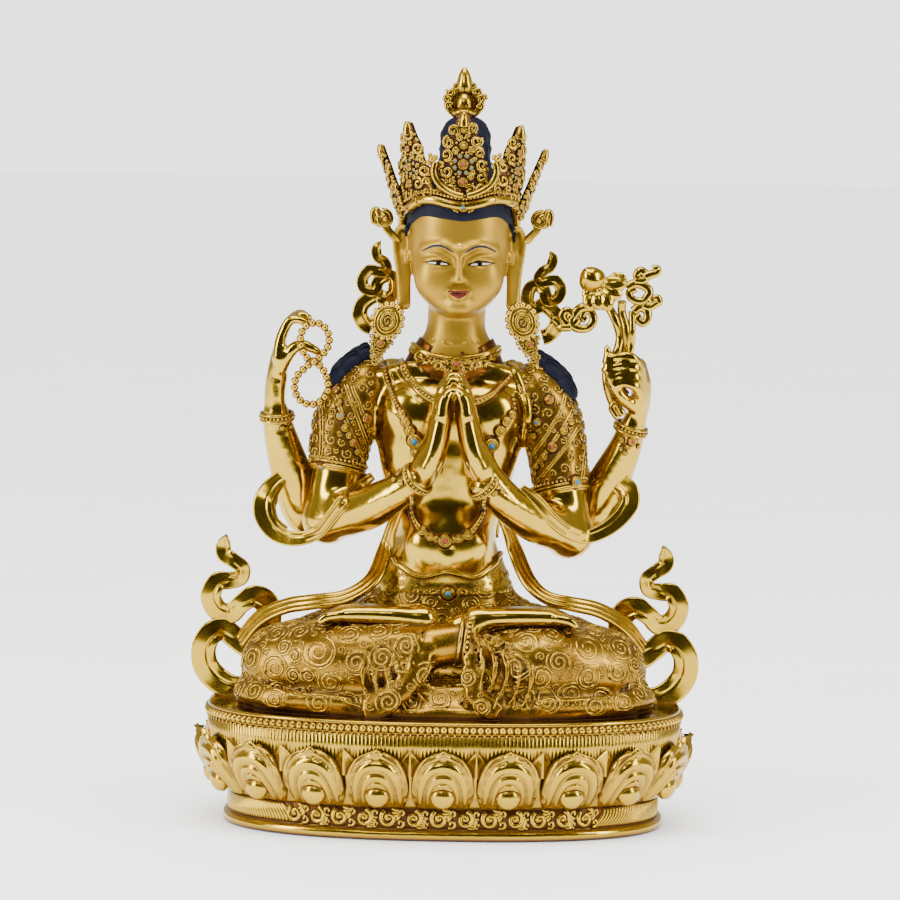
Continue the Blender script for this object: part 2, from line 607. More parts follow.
def trace(skin, spots, lift=0.0, steps=6):
    """A line drawn on a surface through points of the camera's frame: its places and outward ways."""
    found = [skin.under(*spot) for spot in curve(spots, steps)]
    places, outs = (np.array([f[k] for f in found if f is not None]) for k in (0, 1))
    return places + outs * lift, outs


def flat_ways(out):
    """Two directions square to an outward one: sideways and up."""
    out = unit(out)
    side = unit(np.cross((0.01, 0.02, 1), out))
    return side, np.cross(out, side), out


def on_skin(skin, place, out, drawing, lift):
    """Lays a flat drawing of (across, up) places on a surface."""
    side, up, _ = flat_ways(out)
    found = [skin.near(place + side * a + up * b) for a, b in drawing]
    places, outs = (np.array([f[k] for f in found]) for k in (0, 1))
    return places + outs * lift, outs


def pack_places(skin, keep, sizes, seeds=(), gap=0.92):
    """Fills a region of a surface with round fields, larger ones first, none lapping over another."""
    centres = skin.points[skin.faces].mean(1)
    normals = np.cross(skin.points[skin.faces[:, 2]] - skin.points[skin.faces[:, 0]],
                       skin.points[skin.faces[:, 3]] - skin.points[skin.faces[:, 1]])
    normals = normals / np.maximum(np.linalg.norm(normals, axis=1, keepdims=True), 1e-9)
    chosen = np.flatnonzero(keep(centres, normals))
    chosen = chosen[np.random.default_rng(11).permutation(len(chosen))]
    spots = [np.array((*place, size)) for place, _, size in seeds]
    found = list(seeds)
    for size in sizes:
        free = centres[chosen]
        open_ones = np.ones(len(chosen), bool)
        for spot in spots:
            open_ones &= np.linalg.norm(free - spot[:3], axis=1) > (size + spot[3]) * gap
        while open_ones.any():
            k = int(np.argmax(open_ones))
            spots.append(np.array((*free[k], size)))
            found.append((free[k], normals[chosen[k]], size))
            open_ones &= np.linalg.norm(free - free[k], axis=1) > 2 * size * gap
    return found


DOT_FIELD, LARGE_FIELD = 1.6, 4.0


def scrollwork(shapes, skin, found, wire=0.45, lift=0.12):
    """Chased curls: each field gets a spiral that leans its own way, a large one a second line round it,
    and a very small one a dot."""
    for number, (place, out, size) in enumerate(found):
        spin = 1 if number % 2 else -1
        start = number * 2.4
        if size < DOT_FIELD:
            studs(shapes, place + out * 0.1, size * 0.62, out, tall=0.6, columns=7, rows=4)
            continue
        turns, samples, bold, sides = (1.35, 11, 1, 4) if size < LARGE_FIELD else (1.9, 24, 1.5, 5)
        curl = spiral(turns, size * 0.86, spin, start, samples=samples, inner=0.14)
        places, outs = on_skin(skin, place, out, curl, lift)
        sweep(shapes, places, np.linspace(0.7, 1.15, len(places)) * wire * bold, outs, flat=0.9,
              sides=sides)
        if size >= LARGE_FIELD:
            ring = spiral(0.8, size * 1.0, spin, start + 2, samples=12, inner=0.96)
            places, outs = on_skin(skin, place, out, ring, lift * 0.6)
            sweep(shapes, places, wire * 1.1, outs, flat=0.9, sides=5)


# The chased curls catch the light on their backs, the cloth between them is worn and browned by lacquer,
# and the bare skin is burnished with a stone until it mirrors the room.
garment_gilding = fire_gilding("chased_garment_gilding", "#C4A434", "#A47C1E", "#4A1D0A", 2.2, 0.16, 0.1,
        0.7)
cloth_gilding = fire_gilding("worn_gilding_over_lacquered_cloth", "#A47E22", "#6C4814", "#2C0E08", 3.4,
        0.2, 0.14, 0.78)
body_gilding = fire_gilding("burnished_body_gilding", "#C8A836", "#B08C28", "#6E3210", 3.0, 0.13, 0.07, 0.5)

legs = Clay((-110, -66, -3), (110, 66, 60), cell=1.8)
cloth_x, cloth_y = 105.0, 59.5
spans, (x, y, z) = legs.window((-110, -66, -3), (110, 66, 8))
angle = np.arctan2(y / cloth_y, x / cloth_x)
waves = 1 + 0.012 * np.sin(7 * angle + 1) + 0.008 * np.sin(17 * angle) + 0.005 * np.sin(31 * angle + 2)
spread = ((np.abs(x) / cloth_x) ** 2.4 + (np.abs(y) / cloth_y) ** 2.4) ** (1 / 2.4)
top = 3.4 + 0.5 * np.sin(9 * angle) + 0.35 * np.sin(23 * angle + 1) + 5 * np.clip(0.9 - spread, 0, 1)
legs.join(spans, np.maximum((spread / waves - 1) * 60, np.maximum(-0.4 - z, z - top)).astype(np.float32),
          1.0)

legs.stack([(8, 0, 10, 46, 34), (30, 0, 12, 41, 30), (40, 0, 12, 37, 27), (50, -1, 11.2, 35.5, 24.5),
            (57.5, -1.5, 10.5, 34, 23)], 4)
for side, knee in ((-1, 80.5), (1, 79.0)):
    legs.limb([(side * 18, 14, 34, 20), (side * 52, 0, 27, 20), (side * knee, -20, 19.6, 18)], 7)
legs.limb([(-80.5, -21, 19.4, 18.2), (-58, -34, 24, 18.6), (-36, -40, 26, 17), (-20, -42.5, 29, 14.2)], 8)
legs.limb([(79, -21, 19.4, 18.2), (57, -34, 24, 18.6), (38, -39, 25, 17.5), (24, -38, 25, 15)], 8)
legs.limb([(-34, -41, 27, 13), (-16, -43, 31, 11.6), (-2, -43.5, 34, 11), (6, -43.2, 35.4, 10.4)], 5)
legs.stack([(2, 0, -28, 84, 27), (8, 0, -30, 76, 24), (14, 0, -30, 60, 20)], 9, power=2.6)
for side, shift in ((-1, 0), (1, 2)):
    for k in range(5):
        x0 = shift + side * (15 + 5.2 * k)
        legs.limb([(x0 - side * 3.5, -54.2 + k * 0.5, 42 - k * 1.5, 1.2),
                   (x0 + side * (1.5 + k * 0.7), -57.6, 27 - k, 1.6),
                   (x0 - side * (2 - k), -56.5, 12 - k, 1.5), (x0 - side * (9 - 2 * k), -55, 4, 1.1)], 1.6,
                  5)
        legs.limb([(x0 - side * 1.5, -55.4 + k * 0.5, 40 - k * 1.5, 0.5),
                   (x0 + side * (4 + k * 0.7), -58.8, 26 - k, 0.7),
                   (x0 + side * k * 0.6, -57.6, 11 - k, 0.5)], 0.8, 5, cut=True)
for side in (-1, 1):
    legs.limb([(side * 98, -18, 8, 4), (side * 99, -30, 7, 4.4), (side * 88, -44, 6.4, 4.2),
               (side * 70, -52, 5.4, 3.6), (side * 50, -55, 5, 3)], 4)
    legs.limb([(side * 99, -26, 13, 1.6), (side * 90, -42, 11, 1.8), (side * 72, -53, 9, 1.8),
               (side * 46, -57, 8, 1.4)], 2)
for width, path in ((7, [(-9, -55, 33), (-14, -58, 22), (-24, -60, 11), (-34, -60.5, 4.5)]),
                    (5.6, [(13, -54, 33), (12, -57, 22), (15, -60, 11), (23, -60.5, 4.8)])):
    legs.limb([(*spot, width * (0.7 + 0.12 * k)) for k, spot in enumerate(path)], 1.2, 6,
              flat=((0, -1, 0.25), 0.3))
legs_skin = legs.skin()
make("legs_and_garment_casting", legs_skin.model(), cloth_gilding, "chased_gilt_copper", "legs_and_garment")

chasing, shadows = on_seat(), on_seat()
seeds = []
for column, row, size in ((588, 648, 9), (516, 667, 8), (382, 658, 6.4), (318, 652, 9), (350, 634, 6),
                          (552, 634, 6), (618, 672, 6), (275, 668, 7),
                          (432, 664, 3), (400, 684, 3), (482, 686, 2.6)):
    spot = legs_skin.under(column, row)
    if spot:
        seeds.append((*spot, size))


def garment_part(places, outs):
    x, y, z = places.T
    centre = (np.abs(x + 2) < 17) & (y < -30) & (z > 22)
    return (z > 5.2) & ((y < 26) | (z > 9) & (z < 40)) & ~centre & (z < 57) & (outs[:, 2] > -0.5)


scrollwork(chasing, legs_skin, pack_places(legs_skin, garment_part, (6.5, 4.4, 2.9, 2.0), seeds))
make("garment_chasing", chasing, garment_gilding, "chased_gilt_copper")

# The feet and the anklet
# The feet are cast with the legs, turned up on the thighs and burnished like the rest of the skin.
# The anklet is three wires and a row of beads, soldered on.

feet = Clay((-68, -52, 36), (68, -20, 60), cell=0.95)
for side, ankle, toe in ((1, 10, 59), (-1, -6, -57)):
    heel = (ankle + side * 6, -39, 46.5)
    feet.limb([(ankle - side * 4, -41, 40, 8.5), (ankle + side * 4, -40, 44, 8), (*heel, 7)] if side > 0
              else [(*heel, 6.6)] * 2, 2)
    for k in range(3):
        y = -42.5 + k * 4.6
        feet.limb([(ankle + side * 4, y * 0.6 - 16, 46, 5.4), (ankle + side * 20, y, 47.6, 4.6),
                   (toe - side * 9, y, 47.8, 3.9), (toe - side * 2, y, 46.4, 3.2)], 3)
    for k, long in enumerate((0, 0.6, 0.4, -0.6, -2)):
        y = -44.6 + k * 3.1
        thick = 2.4 if k == 0 else 1.85
        feet.limb([(toe - side * 5, y, 47.6, thick), (toe + side * (1 + long), y, 46.6, thick),
                   (toe + side * (4.2 + long), y, 44.6, thick * 0.86)], 0.7)
feet_skin = feet.skin()
make("feet", feet_skin.model(), body_gilding, "chased_gilt_copper")


def full_turn(count):
    """Angles evenly round a circle, the last one short of closing."""
    return np.linspace(0, 2 * np.pi, count, endpoint=False)


anklet = on_seat()
for x, radius, wire in ((7.0, 12.3, 1.0), (9.6, 11.8, 0.9), (12.0, 11.0, 0.8)):
    turn = full_turn(48)
    sweep(anklet, np.stack([x + 1.5 * np.sin(turn), -42.6 + radius * 0.98 * np.cos(turn),
                            36.5 + radius * np.sin(turn)], 1), wire, (1, 0, 0), closed=True)
turn = full_turn(30)
studs(anklet, np.stack([10.8 + 1.5 * np.sin(turn), -42.6 + 12.2 * np.cos(turn),
                        36.5 + 12.2 * np.sin(turn)], 1), 1.05)
make("anklet", anklet, garment_gilding, "chased_gilt_copper")


# The body, the front arms and the joined hands
# The body is one hollow casting, burnished until it mirrors the room: bare chest and belly, wide
# shoulders and a narrow waist. The front hands meet before the heart with a hollow between the palms.


def front(column, row, y):
    """The place at depth y, on the figure's own scale, that the camera sees at a point of its frame."""
    return tuple((plane_spot(column, row, y * FIGURE_SHARE) - (0, 0, FIGURE_RISE)) / FIGURE_SHARE)


RIGHT_UPPER_ARM = [(-44, 9, 152, 14.5), (-52, 6, 140, 14.5), (-55, 2, 115, 13), (-60, -3, 91, 11)]
RIGHT_FOREARM = [(-60, -3, 91, 11), (-42, -18, 97, 11), (-27, -30, 106, 9.2), (-16, -37, 113.5, 7.2)]
LEFT_UPPER_ARM = [(44, 9, 151, 14.5), (51, 6, 139, 14.5), (55.5, 2, 113, 13), (60.5, -3, 86, 11)]
LEFT_FOREARM = [(60.5, -3, 86, 11), (44, -18, 93, 11), (29, -30, 103, 9.2), (18, -37, 111.5, 7.2)]

PALM_LINE = 454

body = Clay((-77, -50, 54), (79, 42, 192), cell=1.52)
body.stack([(54, -1, 10.4, 34.5, 23.6), (64.5, -2, 10, 32, 21.5), (75, -1.5, 9.5, 27.5, 20.2),
            (85, -1, 9, 25.2, 19.5),
            (98, -0.8, 8.5, 28, 20.5), (113, -0.5, 8, 32.8, 22), (128, 0, 7.5, 36, 23.4),
            (142, 0, 7.5, 38.5, 23.4), (155, 0.3, 8, 40, 21),
            (163, 1, 9, 34, 17.2), (169, 1.6, 9.5, 24, 13.6), (174, 2, 9.2, 14, 10), (178, 2.2, 9, 9, 8)],
           4)
for side in (-1, 1):
    body.ball((1 + side * 15, -8, 146), (17, 10, 13), 9)
    body.ball((1 + side * 30, 26, 150), (16, 8, 20), 10)
    body.limb([(2 + side * 6, -7, 168, 3), (side * 22, -5, 167, 3.4), (side * 38, 2, 161, 4.5)], 7)
body.ball((0.2, -7, 80), (19, 8.5, 15), 9)
body.ball((0.4, -17.5, 78), (1.5, 3, 1.7), 1.6, cut=True)
for stations in (RIGHT_UPPER_ARM, RIGHT_FOREARM, LEFT_UPPER_ARM, LEFT_FOREARM):
    body.limb(stations, 5)
for side, elbow in ((-1, RIGHT_UPPER_ARM[-1]), (1, LEFT_UPPER_ARM[-1])):
    body.ball((elbow[0], elbow[1] + 3, elbow[2] - 1), (10, 9, 10), 6)
body_skin = body.skin(6)
make("body_and_front_arms_casting", body_skin.model(), body_gilding, "fire_gilt_copper",
     "torso_and_front_arms")

hands = Clay((-30, -56, 98), (34, -16, 170), cell=0.9)
for side in (-1, 1):
    def spot(column, row, y, radius=None):
        """A station on one hand; the other one mirrors it about the line where the palms meet."""
        place = front(column if side < 0 else 2 * PALM_LINE - column, row, y)
        return place if radius is None else (*place, radius)

    palm_way = (1, 0, side * 0.12)
    hands.limb([(RIGHT_FOREARM if side < 0 else LEFT_FOREARM)[2], spot(419, 478, -36, 7.4),
                spot(427, 462, -38, 6.9), spot(431, 452, -38, 6.2)], 2)
    hands.limb([spot(427, 466, -38, 9.4), spot(434.5, 449, -38.5, 10.8), spot(439, 430, -39, 10.2),
                spot(442, 412, -39, 9.2), spot(442.6, 404, -39, 8.2)], 3,
               5, flat=(palm_way, 0.58))
    hands.ball(spot(432.5, 460, -31), (5.0, 6.5, 9), 3, turn=side * 0.35)
    hands.limb([spot(441.6, 416, -46.5, 3.3), spot(443.0, 404, -46.8, 3.0), spot(446.2, 396.5, -46.6, 2.6),
                spot(451.0, 391, -45.6, 1.9)], 0.8)
    for y, rise in ((-42, 5), (-37.4, 0), (-33, 4)):
        hands.limb([spot(441.4, 412, y, 3.7), spot(441.0, 398, y, 3.3), spot(444.6, 385 + rise, y, 2.9),
                    spot(451.4, 375.5 + rise, y + 0.4, 1.9)], 0.8)
    hands.limb([spot(436, 444, -31, 3.4), spot(444, 430, -28, 2.9), spot(448, 418, -27, 2.6),
                spot(450.5, 408, -27, 2.0)], 1.2)
hands_skin = hands.skin(4)
make("joined_hands", hands_skin.model(), body_gilding, "fire_gilt_copper")


# The raised arms
# The rear pair spring from behind the shoulders. The right hand holds up the prayer beads over bent
# fingers, the left one closes round the lotus stems. Each arm is a casting of its own, joined unseen.

arm = Clay((-98, -18, 78), (-36, 36, 202), cell=1.18)
arm.limb([(-42, 20, 148, 12), (-55, 22, 120, 12), (-70, 18, 91, 10.5), (-78, 12, 110, 10.5),
          (-84, 6, 130, 8.4), (-86.6, 3, 142, 6.6)], 2, 5)
arm.limb([(-86.6, 3, 141, 6.5), (-87.4, 1, 152, 6.6), (-86, -1, 164, 6.4), (-84.5, -2, 173, 5.6)], 3, 5,
         flat=((0.9, 0.5, 0), 0.74))
for y, far, high in ((-8.4, -72, 190.5), (-4.6, -70.5, 192.5), (-0.8, -71.5, 193.2), (2.6, -74, 190)):
    arm.limb([(-85.5, y, 171, 3.1), (-84.4, y, 181, 2.7), (-80.4, y, 189.4, 2.5),
              (far - 4, y - 0.6, high, 2.1), (far, y - 1.2, high - 1.4, 1.7)], 0.9)
arm.limb([(-84.5, -6, 166, 3.6), (-80, -9, 174, 3.2), (-74.5, -10, 178, 2.7), (-69.5, -10, 176.5, 2.5),
          (-66, -10, 174.6, 1.9)], 1.2)
right_arm_skin = arm.skin(7)
make("raised_right_arm", right_arm_skin.model(), body_gilding, "fire_gilt_copper", "raised_arm_right")

arm = Clay((36, -18, 78), (106, 36, 190), cell=1.18)
arm.limb([(42, 20, 148, 12), (56, 22, 121, 12), (71, 18, 93, 10.5), (80, 12, 110, 10.5),
          (87.5, 6, 127, 8.4), (91, 3, 138.5, 6.6)], 2, 5)
arm.limb([(91, 3, 137.5, 6.5), (94, 1, 148, 6.6), (95.4, -1, 159, 6.2), (93.5, -3, 169, 5.4)], 3, 5,
         flat=((0.9, -0.5, 0), 0.74))
for k, (high, far) in enumerate(((174.5, 76.5), (169.8, 76), (165.2, 78), (161, 81))):
    arm.limb([(95, -4 - 0.3 * k, high - 9, 2.9), (92.2, -10.4, high - 1.6, 2.5), (86, -12, high + 1, 2.3),
              (far, -10.4, high - 1.8, 1.7)], 0.9)
arm.limb([(92, -4, 150, 3.8), (85, -9, 155, 3.1), (80, -10.5, 164, 2.7), (78.4, -10.4, 173, 2.4),
          (77.4, -9.8, 179, 1.8)], 1.2)
left_arm_skin = arm.skin(7)
make("raised_left_arm", left_arm_skin.model(), body_gilding, "fire_gilt_copper", "raised_arm_left")


# The head
# The face and neck are left matt: powdered gold is laid on cold over the gilding and not burnished,
# and eyes, brows and lips are painted over it. The face is a calm one on even thirds.

FACE_X = 3.3
BROW, NOSE, MOUTH, CHIN = 227.5, 211.0, 205.2, 195.0

# Powdered gold in glue, brushed on cold: warm and close in tone, it takes a broad soft highlight only.
face_gold, tree, shader, place = blank("matt_cold_gold_paint")
brushed = add(tree, "ShaderNodeTexNoise", links={"Vector": place, "Scale": 1000 / 14, "Detail": 4.0})
powder = add(tree, "ShaderNodeTexNoise", links={"Vector": place, "Scale": 1000 / 0.35, "Detail": 2.0})
tint = add(tree, "ShaderNodeMix", {"data_type": "RGBA"},
           {0: brushed.outputs["Fac"], 6: colour("#94701C"), 7: colour("#A98624")})
tree.links.new(tint.outputs[2], shader.inputs["Base Color"])
shader.inputs["Metallic"].default_value = 0.85
rough = add(tree, "ShaderNodeMapRange", links={0: powder.outputs["Fac"], 1: 0.3, 2: 0.7, 3: 0.36, 4: 0.5})
tree.links.new(rough.outputs[0], shader.inputs["Roughness"])
bump = add(tree, "ShaderNodeBump", links={"Height": powder.outputs["Fac"], "Strength": 0.15,
        "Distance": 0.00003})
tree.links.new(bump.outputs["Normal"], shader.inputs["Normal"])


def tempera(name, light, dark, rough, grain_mm=0.4, gloss=0.12):
    """Glue-bound colour brushed on thinly: streaked over 3 mm, with a dull, dry surface."""
    made, tree, shader, place = blank(name)
    shader.inputs["Specular IOR Level"].default_value = gloss
    streaks = add(tree, "ShaderNodeTexNoise", links={"Vector": place, "Scale": 1000 / 3.0, "Detail": 3.0})
    grain = add(tree, "ShaderNodeTexNoise", links={"Vector": place, "Scale": 1000 / grain_mm,
            "Detail": 2.0})
    tint = add(tree, "ShaderNodeMix", {"data_type": "RGBA"},
               {0: streaks.outputs["Fac"], 6: colour(dark), 7: colour(light)})
    tree.links.new(tint.outputs[2], shader.inputs["Base Color"])
    dull = add(tree, "ShaderNodeMapRange", links={0: grain.outputs["Fac"], 1: 0.3, 2: 0.7, 3: rough,
            4: rough + 0.12})
    tree.links.new(dull.outputs[0], shader.inputs["Roughness"])
    bump = add(tree, "ShaderNodeBump", links={"Height": grain.outputs["Fac"], "Strength": 0.2,
            "Distance": 0.00004})
    tree.links.new(bump.outputs["Normal"], shader.inputs["Normal"])
    return made


# Thin mineral paints: nearly black blue on the hair, deep line colours, off-white eyes, brick-red lips.
hair_blue = tempera("azurite_hair_paint", "#0C1022", "#05070F", 0.5)
line_blue = tempera("indigo_line_paint", "#0A2136", "#050F1A", 0.5)
lid_black = tempera("lamp_black_line_paint", "#0A0807", "#050404", 0.5)
eye_white = tempera("white_eye_paint", "#B9B6AE", "#A5A096", 0.4)
lip_red = tempera("vermilion_lip_paint", "#5A141A", "#420C12", 0.45)

head = Clay((-34, -34, 163), (41, 40, 262), cell=0.88)
head.stack([(165, 1.6, 9.4, 23, 17), (170, 1.8, 9.6, 23.5, 17), (174, 2.0, 9.4, 23, 16.8),
            (178, 2.2, 8.8, 21, 16), (182, 2.3, 8.4, 17, 14.8), (187, 2.4, 8, 14.8, 13.8),
            (194, 2.6, 7.6, 14.4, 13.6), (203, 2.8, 7, 14.8, 14), (212, 3.2, 8, 18, 18)], 2)
head.stack([(193.5, FACE_X, -9, 6, 7.5), (197, FACE_X, -5, 12.4, 15), (203, FACE_X, -0.5, 18, 20),
            (211, FACE_X, 2.2, 22.0, 23.4),
            (220, FACE_X, 3.8, 24.4, 25.6), (230, FACE_X, 4.8, 25.6, 26.8), (240, FACE_X, 5.4, 25.8, 27.4),
            (249, FACE_X, 6, 25, 27),
            (256, 3.6, 6.5, 22.5, 25), (262, 4, 7, 18, 20)], 3, power=2.25)
for side in (-1, 1):
    x = FACE_X + side * 10.6
    head.ball((FACE_X + side * 12, -13.4, 212), (8.6, 7, 9.5), 9)
    head.ball((x, -25.4, 221.4), (6.2, 4.2, 2.9), 4.4, cut=True)
    head.ball((x, -16.6, 220.8), (6.8, 5.2, 3.7), 1.4)
    head.limb([(x - side * 6.0, -21.4, 219.8, 0.55), (x - side * 3, -22.6, 221.6, 0.75),
               (x + side * 1, -22.2, 222.4, 0.8), (x + side * 6.6, -18.4, 220.8, 0.6)], 0.9, 6)
    head.limb([(x - side * 5.6, -21.3, 219.5, 0.4), (x, -22.0, 218.3, 0.55),
               (x + side * 6.2, -18.6, 220.2, 0.4)], 0.8, 6)
    head.limb([(FACE_X + side * 2.6, -22.6, BROW - 1.6, 1.3), (FACE_X + side * 9, -21.6, BROW + 1.6, 1.2),
               (FACE_X + side * 17.6, -16, BROW - 0.6, 1.0)], 3.6, 6)
    head.ball((FACE_X + side * 2.9, -24.6, NOSE + 0.9), (1.75, 2.2, 1.5), 1.2)
    head.ball((FACE_X + side * 1.7, -26.4, NOSE - 0.9), (0.75, 0.9, 0.6), 0.5, cut=True)
    head.limb([(FACE_X + side * 0.9, -25.4, MOUTH + 1.5, 1.0),
               (FACE_X + side * 2.6, -24.7, MOUTH + 1.3, 0.95),
               (FACE_X + side * 5.2, -22.0, MOUTH + 0.5, 0.6)], 1.4, 6)
head.limb([(FACE_X, -22.4, BROW - 1, 1.5), (FACE_X, -24.4, BROW - 8, 1.7),
           (FACE_X, -26.4, NOSE + 2.4, 2.2), (FACE_X, -26.7, NOSE + 1, 2.2)], 2.6, 6)
head.limb([(FACE_X, -24.9, NOSE - 1.5, 0.5), (FACE_X, -24.4, NOSE - 3.6, 0.6)], 1.2, cut=True)
head.limb([(FACE_X - 3.8, -22.7, MOUTH - 1.0, 0.9), (FACE_X, -24.1, MOUTH - 1.9, 1.5),
           (FACE_X + 3.8, -22.7, MOUTH - 1.0, 0.9)], 1.3, 6)
head.limb([(FACE_X - 5.4, -23.4, MOUTH + 0.3, 0.3), (FACE_X, -26.0, MOUTH - 0.1, 0.35),
           (FACE_X + 5.4, -23.4, MOUTH + 0.3, 0.3)], 0.6, 6, cut=True)
head.ball((FACE_X, -18.4, CHIN + 3.6), (6, 4.6, 4.2), 5)
for k, high in enumerate((179.5, 184.5, 189.5)):
    head.limb([(-12, -1.5 - k, high + 1.4, 0.35), (2.7, -6.7 - k * 0.3, high, 0.4),
               (17.4, -1.5 - k, high + 1.4, 0.35)], 0.7, 8, cut=True)
for side in (-1, 1):
    x = FACE_X + side * 27.4
    head.ball((x, 2.4, 228.4), (4.0, 3.6, 8.4), 2.4, turn=side * 0.14)
    head.limb([(x - side * 3.4, -2.0, 231, 1.2), (x - side * 1.2, -3.0, 236.4, 1.35),
               (x + side * 2.4, -1.8, 236.8, 1.4), (x + side * 4.4, -0.6, 232, 1.5),
               (x + side * 4.2, -0.6, 225, 1.4),
               (x + side * 2.8, -2, 216, 1.4), (x + side * 1.8, -3.4, 206, 1.5),
               (x + side * 1.2, -4.4, 199, 1.6)], 0.9, 6)
    head.limb([(x - side * 0.4, -3.2, 231, 1.9), (x + side * 0.9, -3.6, 225, 2.2),
               (x + side * 0.2, -4.2, 220, 1.5)], 1.0, 6, cut=True)
    head.limb([(x - side * 2.4, -3.2, 225, 1.2), (x - side * 2.2, -4.0, 221, 1.4)], 1.0)
    head.limb([(x - side * 0.6, 0, 222, 3.2), (x - side * 0.6, -1.6, 212, 3.0),
               (x - side * 0.6, -3.2, 204, 3.1), (x - side * 0.6, -4, 199, 3.2)], 2, 6,
              flat=((0, 1, 0.1), 0.62))
    head.limb([(x - side * 4, 8, 231, 4), (x - side * 4, 8, 220, 3.6)], 3)
head_skin = head.skin(2)
make("head_and_neck_casting", head_skin.model(), face_gold, "matt_gold_paint", "head_and_hair")


def brush(skin, name, material, strokes, lift=0.06):
    """Paints strokes on a surface from the front: each a list of (across, h) with its width in mm."""
    shapes = on_seat()
    for width, spots in strokes:
        line = curve(spots, 10)
        found = [skin.tree.ray_cast((FACE_X + u, -90, h), (0, 1, 0)) for u, h in line]
        places = np.array([np.array(f[0]) + np.array(f[1]) * lift for f in found if f[0] is not None])
        outs = np.array([f[1] for f in found if f[0] is not None])
        share = np.linspace(0, 1, len(places))
        sweep(shapes, places, width / 2 * (0.25 + 0.75 * np.sin(share * np.pi) ** 0.6), outs, flat=0.22,
              sides=10)
    make(name, shapes, material, "matt_gold_paint")


eyes, lids, irises, brows = [], [], [], []
for side in (-1, 1):
    x = side * 10.6
    eyes += [(1.0, [(x - side * 4.8, 219.4), (x, 219.8), (x + side * 4.8, 220.1)])]
    lids += [(0.95, [(x - side * 6.2, 219.3), (x - side * 3, 220.7), (x + side * 1, 221.1),
                     (x + side * 7.2, 220.2)]),
             (0.4, [(x - side * 5.6, 219.0), (x, 219.0), (x + side * 5.8, 220.0)])]
    irises += [(1.9, [(x - side * 0.4 - 1.2, 220.0), (x - side * 0.4, 220.0),
                      (x - side * 0.4 + 1.2, 220.0)])]
    brows += [(1.15, [(side * 2.9, BROW - 2.2), (side * 8, BROW + 0.6), (side * 13, BROW + 0.8),
                      (side * 18.4, BROW - 1.8)])]
brush(head_skin, "painted_eye_whites", eye_white, eyes)
brush(head_skin, "painted_irises", lid_black, irises, 0.2)
brush(head_skin, "painted_lids", lid_black, lids, 0.2)
brush(head_skin, "painted_brows", line_blue, brows)
brush(head_skin, "painted_lips", lip_red, [(1.3,
        [(-5.4, MOUTH + 1.0), (-2.2, MOUTH + 1.1), (0, MOUTH + 0.8), (2.2, MOUTH + 1.1),
         (5.4, MOUTH + 1.0)]),
                                           (1.7, [(-4.2, MOUTH - 0.2), (0, MOUTH - 1.4),
        (4.2, MOUTH - 0.2)])])
brush(head_skin, "painted_mouth_line", lid_black,
      [(0.36, [(-6.4, MOUTH + 1.5), (-3, MOUTH + 0.2), (0, MOUTH - 0.1), (3, MOUTH + 0.2),
               (6.4, MOUTH + 1.5)])], 0.45)
brush(head_skin, "painted_urna", eye_white, [(1.7,
        [(-0.5, BROW + 1.6), (0, BROW + 1.6), (0.5, BROW + 1.6)])])

# The hair
# Hair in fine locks, drawn up under the crown into a tall topknot and spread in rounded locks on the
# shoulders. It is cast with the head and painted with ground azurite, which dries dark and dull.

HAIR_BOX = (-28, -24, 222), (36, 40, 296)
CROWN_LEVEL = 264

hair = Clay(*HAIR_BOX, cell=1.06)
hair.stack([(222, 3.3, 13, 23, 22.6), (230, 3.3, 10.4, 25.8, 26.4), (238, 3.3, 8.4, 26.7, 28),
            (249, 3.4, 7.2, 26.8, 28.6), (257, 3.8, 7.4, 24.2, 26.5),
            (264, 4.5, 8, 18, 20), (268, 5, 8.5, 13.4, 14), (276, 5.4, 9, 12.8, 12.8),
            (284, 5.4, 9, 12.4, 12.4), (289, 5.4, 9, 10, 10), (292, 5.4, 9, 6, 6)], 2)
spans, (x, y, z) = hair.window(*HAIR_BOX)
turn = np.arctan2(y - 9, x - 5.0)
waves = 0.35 * np.sin(turn * 26 + 0.35 * (z - 222)
                      * np.where(z > CROWN_LEVEL, 1.0, 0.15)) + 0.25 * np.sin((z - CROWN_LEVEL)
        * 0.9) * (z > CROWN_LEVEL)
hair.field[spans] = hair.field[spans] + (waves * (np.abs(hair.field[spans]) < 3)).astype(np.float32)
hair_skin = hair.skin(1)
make("hair_and_topknot", hair_skin.model(), hair_blue, "matt_gold_paint")

# The locks that lie on the shoulders.
locks = on_seat()
for side in (-1, 1):
    for k, (u, y, h, size) in enumerate(((44.5, 6, 172.6, 5.0), (50.5, 4, 168, 5.8), (56, 3.4, 160.5, 6.0),
            (47, 12, 171, 5.4), (54, 12, 165, 5.6))):
        u, h = (u + 1.5, h - 2.2) if side > 0 else (u, h)
        lean = np.array((side * (0.55 + 0.12 * k), -0.25 if k < 3 else 0.4, 1 - 0.16 * k))
        studs(locks, [(side * u, y, h)], size, lean, tall=0.8, long=1.3, along=(side * 0.6, 0, -0.8),
              columns=24, rows=14)
        for turn in (-1, 0, 1):
            t = np.linspace(-1, 1, 11)[:, None]
            along, out = np.array((side * 0.6, 0, -0.8)), unit(lean)
            across = np.cross(along, out)
            path = np.array((side * u, y, h)) + along * t * size * 1.2 + across * (turn * size * 0.5
                    * np.sqrt(1 - 0.7 * t**2)) + out * size * 0.78 * np.sqrt(np.clip(1 - t**2 * 0.9 - 0.25
                    * turn**2, 0, 1))
            sweep(locks, path, 0.8, out, sides=7)
make("shoulder_locks", locks, hair_blue, "matt_gold_paint")


# The crown
# Five leaves of openwork stand on a band that rides high over the brow. Each is cast with packed curls
# round set stones, chased sharp, and pinned to the band; between them bowed brackets tie the row.


